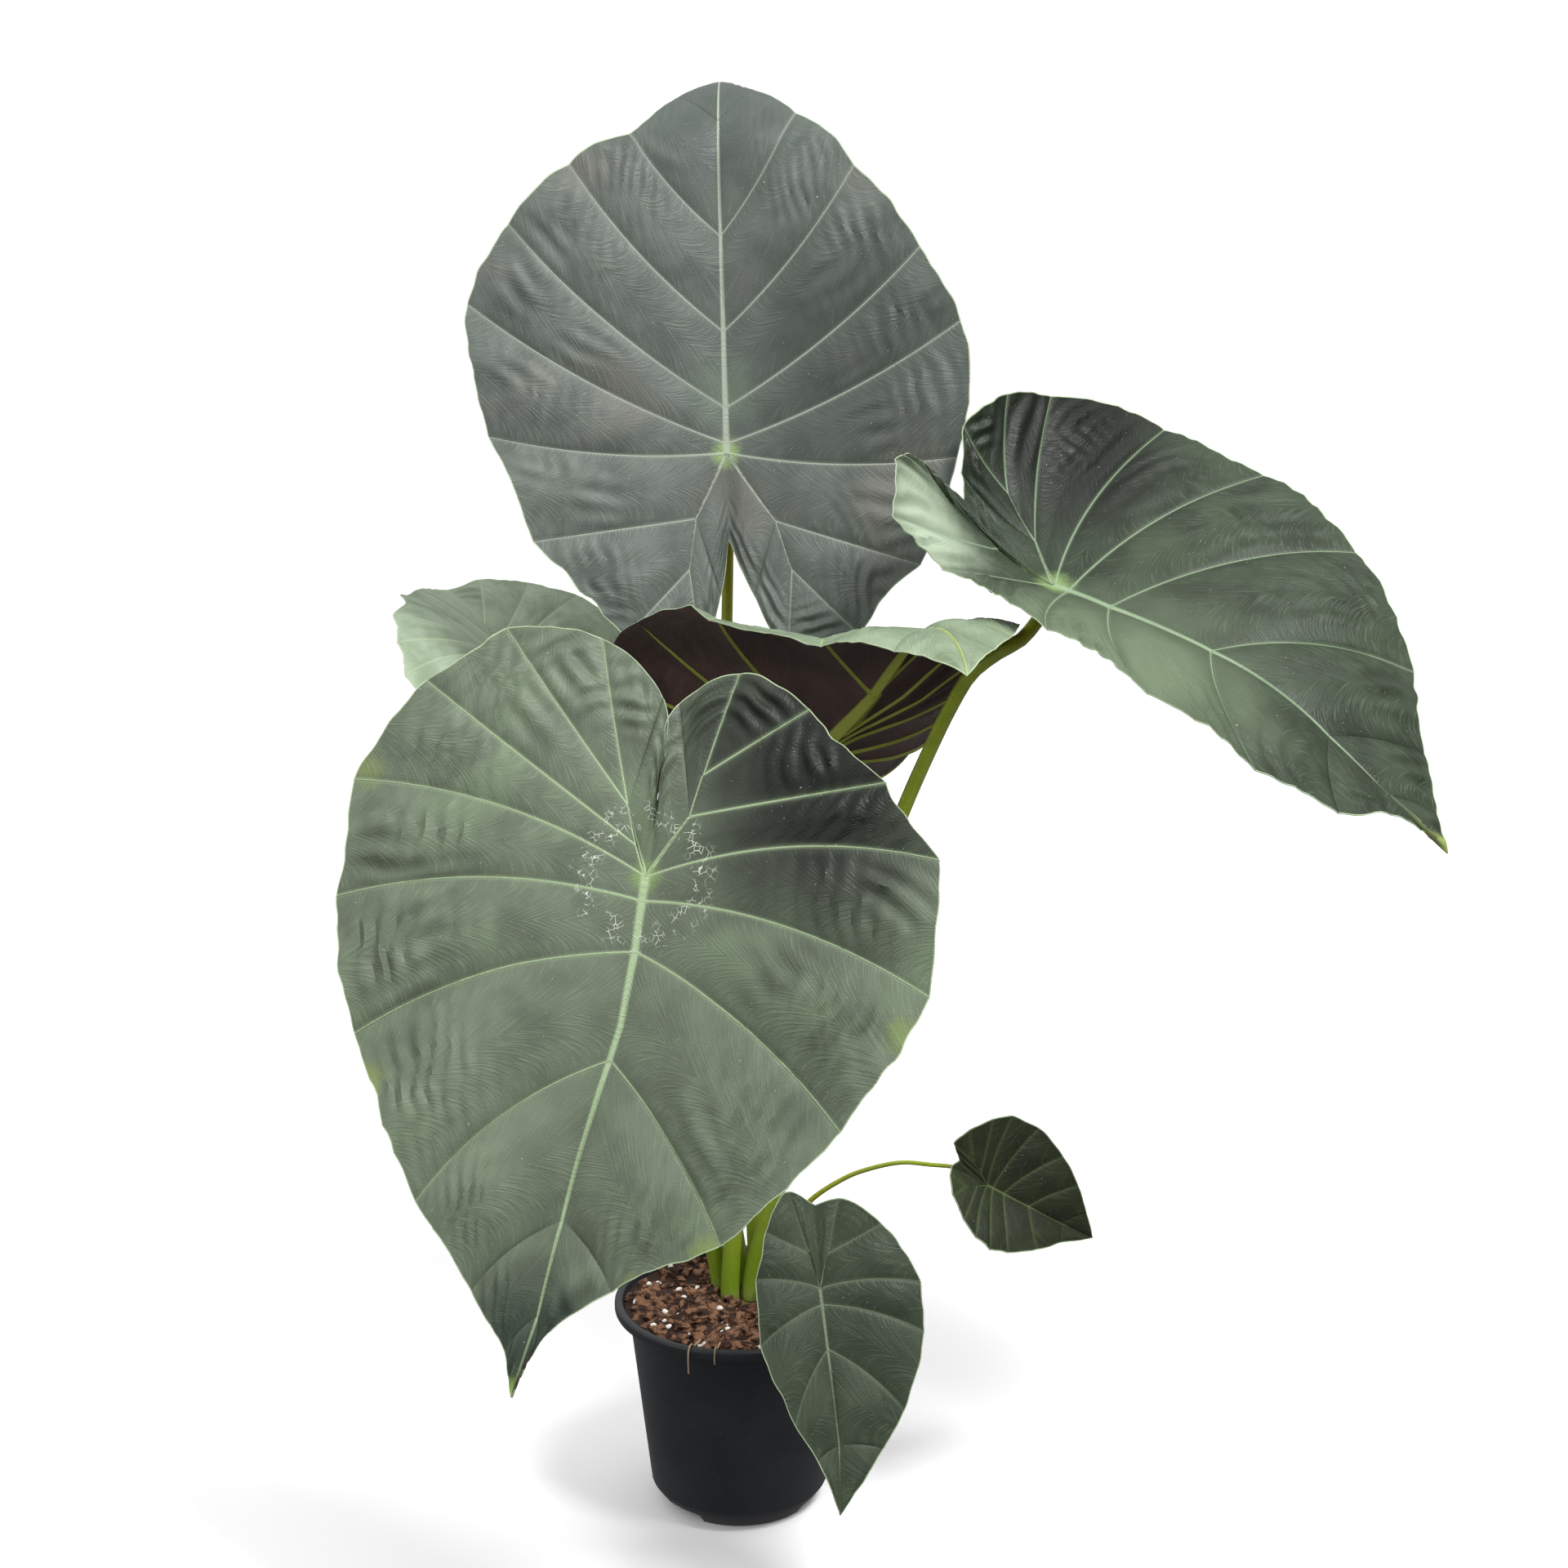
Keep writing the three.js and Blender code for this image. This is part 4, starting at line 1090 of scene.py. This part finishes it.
class Surface:
    """A material being built: each method adds one node with its settings and links."""

    def __init__(self, name, roughness, specular=0.5):
        self.material = bpy.data.materials.new(name)
        self.material.use_nodes = True
        self.nodes = self.material.node_tree.nodes
        self.links = self.material.node_tree.links
        self.shader = self.nodes["Principled BSDF"]
        self.set("Roughness", roughness)
        self.set("Specular IOR Level", specular)
        self.place = self.add("ShaderNodeTexCoord").outputs["Object"]

    def add(self, kind, inputs=None, **settings):
        node = self.nodes.new(kind)
        for key, value in settings.items():
            setattr(node, key, value)
        for key, value in (inputs or {}).items():
            self.feed(node.inputs[key], value)
        return node

    def feed(self, socket, value):
        if isinstance(value, bpy.types.NodeSocket):
            self.links.new(value, socket)
        else:
            socket.default_value = value

    def set(self, name, value):
        self.feed(self.shader.inputs[name], value)

    def fact(self, name):
        return self.add("ShaderNodeAttribute", attribute_name=name).outputs["Fac"]

    def vector(self, name):
        return self.add("ShaderNodeAttribute", attribute_name=name).outputs["Vector"]

    def noise(self, size, where=None, detail=3):
        """Cloudy pattern with forms about size millimetres across; where is a vector in millimetres."""
        scale = 1 / size if where else 1 / (size * MM)
        inputs = {"Vector": where or self.place, "Scale": scale, "Detail": detail}
        return self.add("ShaderNodeTexNoise", inputs).outputs["Fac"]

    def noise_on(self, where, stretch, detail=2):
        """Cloudy pattern on a vector in millimetres, its forms stretched along the vector's axes."""
        stretched = self.add("ShaderNodeVectorMath", {0: where, 1: stretch}, operation="MULTIPLY").outputs[0]
        inputs = {"Vector": stretched, "Scale": 1, "Detail": detail}
        return self.add("ShaderNodeTexNoise", inputs).outputs["Fac"]

    def maths(self, operation, first, second=0.0):
        return self.add("ShaderNodeMath", {0: first, 1: second}, operation=operation).outputs[0]

    def span(self, value, low, high, out_low=0.0, out_high=1.0):
        """A value spread smoothly from one span to another."""
        inputs = {"Value": value, "From Min": low, "From Max": high, "To Min": out_low, "To Max": out_high}
        return self.add("ShaderNodeMapRange", inputs, interpolation_type="SMOOTHSTEP").outputs[0]

    def blend(self, share, first, second):
        """Two colours mixed. A mix node takes its colours at inputs 6 and 7 and gives one at output 2."""
        first = srgb(first) if isinstance(first, str) else first
        second = srgb(second) if isinstance(second, str) else second
        inputs = {"Factor": share, 6: first, 7: second}
        return self.add("ShaderNodeMix", inputs, data_type="RGBA").outputs[2]

    def bump(self, height, depth, normal=None):
        """Relief too fine to model, depth millimetres high."""
        inputs = {"Height": height, "Distance": depth * MM, "Strength": 1.0}
        if normal is not None:
            inputs["Normal"] = normal
        return self.add("ShaderNodeBump", inputs).outputs["Normal"]


def patched(made, flat, colour, patches):
    """Soft round patches on a colour, each (x and y on the flat leaf, radius, strength, colour). Some are
    real stains; the others are painted shade and painted light on parts turned from and towards the light.
    """
    for x, y, radius, strength, patch in patches:
        inputs = {0: flat, 1: (x, y, 0)}
        away = made.add("ShaderNodeVectorMath", inputs, operation="DISTANCE").outputs["Value"]
        uneven = made.maths("MULTIPLY", made.noise(0.5 * radius, flat), 0.6 * radius)
        ragged = made.maths("ADD", away, uneven)
        colour = made.blend(made.span(ragged, 1.3 * radius, 0.5 * radius, 0, strength), colour, patch)
    return colour


def dried_ring(made, flat, colour):
    """Broken white threads left by dried water, in a ring of 24 to 48 mm radius round the hub."""
    away = made.add("ShaderNodeVectorMath", {0: flat}, operation="LENGTH").outputs["Value"]
    ring = made.maths("MULTIPLY", made.span(away, 24, 32), made.span(away, 48, 38))
    crack = made.add("ShaderNodeTexVoronoi", {"Vector": flat, "Scale": 1 / 3.6},
                     feature="DISTANCE_TO_EDGE").outputs["Distance"]
    broken = made.span(made.noise(9, flat), 0.5, 0.58, 0, 0.8)
    thread = made.maths("MULTIPLY", made.span(crack, 0.06, 0.02), broken)
    return made.blend(made.maths("MULTIPLY", thread, ring), colour, "c9cfc2")


def upper_leaf(name, field, shade, tint, vein, patches=(), ringed=False):
    """Satin upper face: grey-green fields with a fine streaky grain, painted shade in the valleys beside the
    veins, pale veins and a thin pale edge.

    The grain's streaks are about 2 mm apart and 14 mm long, the clouds of colour 30 and 75 mm across.
    """
    made = Surface(name, 0.48, 0.25)
    flat = made.vector("flat")
    grain = made.vector("grain")
    colour = made.blend(made.span(made.noise(30, flat, 4), 0.36, 0.66), field, shade)
    colour = made.blend(made.span(made.noise(75, flat, 2), 0.52, 0.7, 0, 0.7), colour, tint)
    fine = made.noise_on(grain, (1 / 1.8, 1 / 14, 1))
    colour = made.blend(made.span(fine, 0.52, 0.75, 0, 0.14), colour, vein)
    colour = made.blend(made.span(fine, 0.48, 0.28, 0, 0.2), colour, shade)
    colour = patched(made, flat, colour, patches)
    # Painted shade: the field darkens towards the valleys where it dips to the veins
    valley = made.fact("valley")
    colour = made.blend(made.span(valley, 0.5, 0.1, 0, 0.25), colour, shade)
    near = made.fact("near")
    colour = made.blend(made.span(near, 2.5, 0, 0, 0.2), colour, vein)
    line = made.fact("line")
    colour = made.blend(made.span(line, 1.3, 0.4, 0, 0.8), colour, vein)
    if ringed:
        colour = dried_ring(made, flat, colour)
    speck = made.span(made.noise(1.6, flat, 1), 0.74, 0.79, 0, 0.55)
    speck = made.maths("MULTIPLY", speck, made.span(made.noise(30, flat), 0.45, 0.6))
    colour = made.blend(speck, colour, "c4cabd")
    colour = made.blend(made.span(made.fact("edge"), 0.9, 0.35), colour, "9fae8c")
    made.set("Base Color", colour)
    made.set("Roughness", made.span(fine, 0.3, 0.7, 0.4, 0.54))
    relief = made.maths("ADD", made.noise(1.3, flat, 2), made.maths("MULTIPLY", fine, 2.2))
    made.set("Normal", made.bump(relief, 0.22))
    return made.material


def under_leaf(name, field, tint, vein, patches=()):
    """Underside: dark maroon-brown between raised lime-green veins."""
    made = Surface(name, 0.5, 0.3)
    flat = made.vector("flat")
    fine = made.noise_on(made.vector("grain"), (1 / 1.6, 1 / 12, 1))
    colour = made.blend(made.span(made.noise(60, flat, 2), 0.42, 0.62), field, tint)
    colour = made.blend(made.span(fine, 0.5, 0.72, 0, 0.2), colour, "6d5a55")
    line = made.fact("line")
    inside = made.span(made.fact("edge"), 3, 14)
    colour = made.blend(made.maths("MULTIPLY", made.span(line, 3.8, 2.2, 0, 0.5), inside), colour, "5a4a2a")
    colour = made.blend(made.maths("MULTIPLY", made.span(line, 3.1, 2.1), inside), colour, vein)
    made.set("Base Color", patched(made, flat, colour, patches))
    made.set("Normal", made.bump(made.maths("ADD", made.noise(1.3, flat, 2), fine), 0.25))
    return made.material


def leaf_edge(name, near_colour, far_colour):
    """The blade's thin edge, which reads as a pale line."""
    made = Surface(name, 0.5, 0.4)
    made.set("Base Color", made.blend(made.noise(12), near_colour, far_colour))
    return made.material


def stalk_skin():
    """Juicy stalk: yellow-green above, brighter green at the sheathing foot, with fine lengthwise lines."""
    made = Surface("stalk_green_skin", 0.3, 0.5)
    height = made.fact("height")
    colour = made.blend(made.span(height, 0, 0.22), "6f9420", "98ab30")
    colour = made.blend(made.span(height, 0.03, 0), colour, "85964a")
    colour = made.blend(made.span(made.noise(9), 0.4, 0.7, 0, 0.45), colour, "7c8f2a")
    colour = made.blend(made.span(made.noise(1.4, None, 1), 0.66, 0.72, 0, 0.5), colour, "4f5f22")
    made.set("Base Color", colour)
    made.set("Subsurface Weight", 0.1)
    made.set("Normal", made.bump(made.noise(1.5), 0.1))
    return made.material


def pot_plastic():
    """Black moulded plastic with a satin skin and faint specks of dust."""
    made = Surface("black_pot_plastic", 0.42, 0.3)
    colour = made.blend(made.span(made.noise(45), 0.35, 0.7), "1f2225", "272a2e")
    colour = made.blend(made.span(made.noise(0.9, None, 1), 0.72, 0.78, 0, 0.5), colour, "6b6d6c")
    made.set("Base Color", colour)
    made.set("Normal", made.bump(made.noise(0.8), 0.05))
    return made.material


def mix_fines():
    """The fine dark matter between the chips."""
    made = Surface("potting_mix_fines", 0.95, 0.2)
    made.set("Base Color", made.blend(made.noise(2.5), "1d140f", "46332a"))
    made.set("Normal", made.bump(made.noise(1.2), 0.8))
    return made.material


def bark():
    """Weathered bark and coir chips, each a different brown."""
    made = Surface("bark_chips", 0.9, 0.25)
    colour = made.blend(made.span(made.noise(6, detail=1), 0.4, 0.62), "2c1c15", "805d46")
    colour = made.blend(made.span(made.noise(1.2), 0.45, 0.7, 0, 0.6), colour, "4a3325")
    made.set("Base Color", colour)
    made.set("Normal", made.bump(made.noise(1), 0.5))
    return made.material


def perlite_grain():
    """White expanded perlite."""
    made = Surface("perlite_white", 0.85, 0.3)
    made.set("Base Color", made.blend(made.noise(2), "cfc9bf", "f0ede6"))
    made.set("Normal", made.bump(made.noise(0.7), 0.3))
    return made.material


def crown_skin():
    """Fibrous brown stem base."""
    made = Surface("crown_brown_skin", 0.85, 0.3)
    made.set("Base Color", made.blend(made.noise(4), "4d3c22", "7c6a40"))
    made.set("Normal", made.bump(made.noise(1.5), 0.6))
    return made.material


def root_skin():
    """Dry tan root."""
    made = Surface("root_tan_skin", 0.8, 0.3)
    made.set("Base Color", made.blend(made.noise(3), "86705a", "b7a184"))
    made.set("Normal", made.bump(made.noise(0.8), 0.2))
    return made.material


# The plant

STALK_SKIN = stalk_skin()
ROOT_SKIN = root_skin()
EDGE = leaf_edge("leaf_edge_pale_green", "8d9c80", "a3b092")
UNDERSIDE = ("3e2f2c", "543e3a", "a6b04a")
MAROON = under_leaf("maroon_underside", *UNDERSIDE)
GREENED = under_leaf("maroon_underside_greened", *UNDERSIDE,
                     [(-4, -45, 60, 1, "2c3826"), (0, -88, 34, 1, "2c3826"), (-3, 255, 50, 1, "46543c"),
                      (-5, 300, 14, 1, "8fa54a")])
YOUNG_MAROON = under_leaf("young_maroon_underside", *UNDERSIDE, [(3, -21, 12, 1, "3f4939")])
DARK_EDGE = leaf_edge("young_leaf_edge", "6f7f60", "7f8f6e")

# Top leaf: painted shade darkens the right half (90, 60) and painted light brightens the left lobe (-130,
# -30); the patch at (0, 235) darkens the curled tip
blade("top_leaf", TOP_LEAF,
      [upper_leaf("top_leaf_upper", "5d645e", "4c534d", "625f5a", "9ea697",
                  [(90, 60, 130, 0.65, "313832"), (0, 235, 115, 0.7, "3d4440"),
                   (-130, -30, 60, 0.3, "757b72"), (0, 0, 13, 0.7, "9bb870"), (0, 40, 30, 0.3, "7c9076")]),
       MAROON, EDGE])
stalk("top_leaf", TOP_LEAF,
      [(12.4, 24.7, STALK_FOOT), (12, 26, 155), (8, 40, 225), (-7, 96, 350), (-9, 126, 500)],
      (0, 32, -52), 6.4, 3.6)

# Front leaf: painted shade darkens the lobe at (-90, -85) and the side at (-100, 50), both on the camera's
# right, and painted light brightens the lower left at (70, 165); the patch at (0, 272) darkens the tip. The
# yellow-green patches, the tip and the hub keep the leaf's own colours.
blade("front_leaf", FRONT_LEAF,
      [upper_leaf("front_leaf_upper", "626d5b", "545d4e", "67775e", "9fb48d",
                  [(-90, -85, 145, 0.97, "0d100c"), (-100, 50, 80, 0.25, "35402f"),
                   (70, 165, 75, 0.45, "788670"), (0, 272, 62, 0.75, "232f2a"),
                   (-172, 52, 15, 0.4, "7a8f3c"), (128, 150, 14, 0.4, "7f8f3a"),
                   (-92, 196, 15, 0.4, "869a3c"), (-55, 226, 12, 0.4, "869a3c"),
                   (176, -20, 14, 0.35, "8b9a52"), (4, 304, 14, 0.9, "8fb04a"),
                   (0, 0, 13, 0.5, "8fb05c")], ringed=True),
       MAROON, EDGE])
stalk("front_leaf", FRONT_LEAF,
      [(-12.5, 25.5, STALK_FOOT), (-13.6, 25, 150), (-22, 16, 195), (-38, -40, 330), (-45, -108, 440)],
      (13, 50, -26), 6.4, 3.8)

# Right leaf: its field colours are darkened as painted shade for the half turned from the light, and the far
# lobe (-110, -70) is near-black painted shade; the pale patches on the near half (75, 80) and near lobe (60,
# -90) are painted sheen. The tip and hub patches are its own colour.
blade("right_leaf", RIGHT_LEAF,
      [upper_leaf("right_leaf_upper", "2f3b2b", "20291b", "37432f", "83977a",
                  [(75, 80, 130, 0.7, "66755b"), (60, -90, 75, 0.9, "a3b29a"),
                   (-110, -70, 130, 0.97, "0a0f09"), (0, 296, 16, 0.9, "8fa54a"),
                   (0, 0, 16, 0.6, "9bb870")]),
       GREENED, EDGE])
stalk("right_leaf", RIGHT_LEAF,
      [(7.8, 11.7, STALK_FOOT), (9.4, 10.8, 155), (24, 2, 215), (68, -18, 380), (104, -26, 487),
       (121, -30, 530), (134, -35, 560), (145, -39, 580), (159, -40, 592), (176, -32, 600),
       (190, -14, 611)],
      (0, 4, -13), 6.4, 4.4)

# Middle leaf: its pale upper colours are painted sheen on the folded-over tip, which faces up into the light
# at a grazing angle
blade("middle_leaf", MIDDLE_LEAF,
      [upper_leaf("middle_leaf_upper", "7f8e77", "6b7a63", "8f9f87", "b0bf7c"), MAROON, EDGE])
stalk("middle_leaf", MIDDLE_LEAF,
      [(-6, 11.3, STALK_FOOT), (-5.6, 10.8, 155), (1, 6, 225), (28, -8, 350)],
      (-8, -30, -52), 6.4, 4)

# Back leaf: its colours are lightened as painted light, to make up for the shade it stands in behind the top
# leaf
blade("back_leaf", BACK_LEAF,
      [upper_leaf("back_leaf_upper", "90a08a", "77876f", "9cab90", "b9c7a6"), MAROON, EDGE])
stalk("back_leaf", BACK_LEAF,
      [(0.5, 33.5, STALK_FOOT), (-0.5, 35, 155), (-14, 46, 215), (-80, 96, 340), (-138, 146, 430)],
      (-10, 4, -46), 6.4, 3.2)

blade("low_front_leaf", LOW_FRONT_LEAF,
      [upper_leaf("low_front_leaf_upper", "3f4939", "333c2e", "49533f", "7b8b70",
                  [(-38, 25, 45, 0.6, "262e22")]),
       YOUNG_MAROON, DARK_EDGE])
stalk("low_front_leaf", LOW_FRONT_LEAF,
      [(17, 8, STALK_FOOT), (17.6, 5, 150), (26, -40, 185), (42, -90, 206)],
      (-6, 30, -8), 2.4, 1.7)

blade("low_right_leaf", LOW_RIGHT_LEAF,
      [upper_leaf("low_right_leaf_upper", "2b321e", "21271a", "343b24", "5d6d43"),
       MAROON, DARK_EDGE])
stalk("low_right_leaf", LOW_RIGHT_LEAF,
      [(20, 15, STALK_FOOT), (22, 14, 150), (42, 2, 205), (69, -12, 233), (88, -22, 245), (107, -32, 253),
       (124, -38, 254), (140, -40, 253)],
      (-9, 12, 0), 2.2, 1.4)

pot()
potting_mix()
crown()
root("long_root", -22, 14, 0.7)
root("short_root", -10, 5, 0.6)
draw = random.Random(MIX_SEED)
scattered("bark_chips", chip_masters(draw), CHIP_COUNT, CHIP_SIZES, CHIP_LEVELS, draw, bark())
scattered("perlite", perlite_masters(draw), PERLITE_COUNT, PERLITE_SIZES, PERLITE_LEVELS, draw,
          perlite_grain())


# Floor, light and camera, in metres. A lamp is (name, place, width, power in watts).

FLOOR_WIDTH = 6
FLOOR_DROP = 0.0005
OVERHEAD_LIGHT = 1.4
LOW_LIGHT = 0.22
LOWEST_SKY = -0.2
BACKDROP_LIGHT = 1
LAMPS = (("key", (1.0, -1.1, 2.7), 0.8, 78), ("fill", (-1.8, -1.6, 1.4), 1.6, 12))
LAMP_AIM = (0.05, 0, 0.5)
CAMERA_RANGE = (0.1, 20)


def studio():
    """Pale floor, a sky that is brighter overhead, two soft lamps and the photograph's camera."""
    plain_deselect()
    bpy.ops.mesh.primitive_plane_add(size=FLOOR_WIDTH, location=(0, 0, -FLOOR_DROP))
    floor = bpy.context.object
    floor.name = "floor"
    bpy.ops.object.transform_apply(location=True, rotation=False, scale=False)
    made = Surface("pale_floor", 0.9, 0.1)
    made.set("Base Color", srgb("fafafa"))
    floor.data.materials.append(made.material)
    # The floor shows and takes shadows, but throws no light back on the plant
    floor.visible_diffuse = False
    floor.visible_glossy = False

    world = bpy.data.worlds.new("white_studio")
    bpy.context.scene.world = world
    world.use_nodes = True
    nodes, links = world.node_tree.nodes, world.node_tree.links
    nodes["Background"].inputs["Color"].default_value = (1, 1, 1, 1)
    direction = nodes.new("ShaderNodeSeparateXYZ")
    links.new(nodes.new("ShaderNodeTexCoord").outputs["Generated"], direction.inputs[0])
    sky = nodes.new("ShaderNodeMapRange")
    sky.inputs["From Min"].default_value = LOWEST_SKY
    sky.inputs["To Min"].default_value = LOW_LIGHT
    sky.inputs["To Max"].default_value = OVERHEAD_LIGHT
    links.new(direction.outputs["Z"], sky.inputs["Value"])
    seen = nodes.new("ShaderNodeMapRange")
    seen.inputs["To Max"].default_value = BACKDROP_LIGHT
    links.new(nodes.new("ShaderNodeLightPath").outputs["Is Camera Ray"], seen.inputs["Value"])
    links.new(sky.outputs[0], seen.inputs["To Min"])
    links.new(seen.outputs[0], nodes["Background"].inputs["Strength"])

    for name, place, size, power in LAMPS:
        lamp = bpy.data.lights.new(name, "AREA")
        lamp.size = size
        lamp.energy = power
        holder = bpy.data.objects.new(name, lamp)
        holder.location = place
        aim = Vector(LAMP_AIM) - Vector(place)
        holder.rotation_euler = aim.to_track_quat("-Z", "Y").to_euler()
        bpy.context.collection.objects.link(holder)

    lens = bpy.data.cameras.new("camera")
    lens.lens = CAMERA_LENS_MM
    lens.sensor_width = CAMERA_SENSOR_MM
    lens.clip_start, lens.clip_end = CAMERA_RANGE
    camera = bpy.data.objects.new("camera", lens)
    camera.location = Vector(CAMERA_PLACE) * MM
    camera.rotation_euler = (math.radians(90 - CAMERA_TILT_DEG), 0, 0)
    bpy.context.collection.objects.link(camera)
    bpy.context.scene.camera = camera
    bpy.context.scene.view_settings.view_transform = "Standard"


studio()
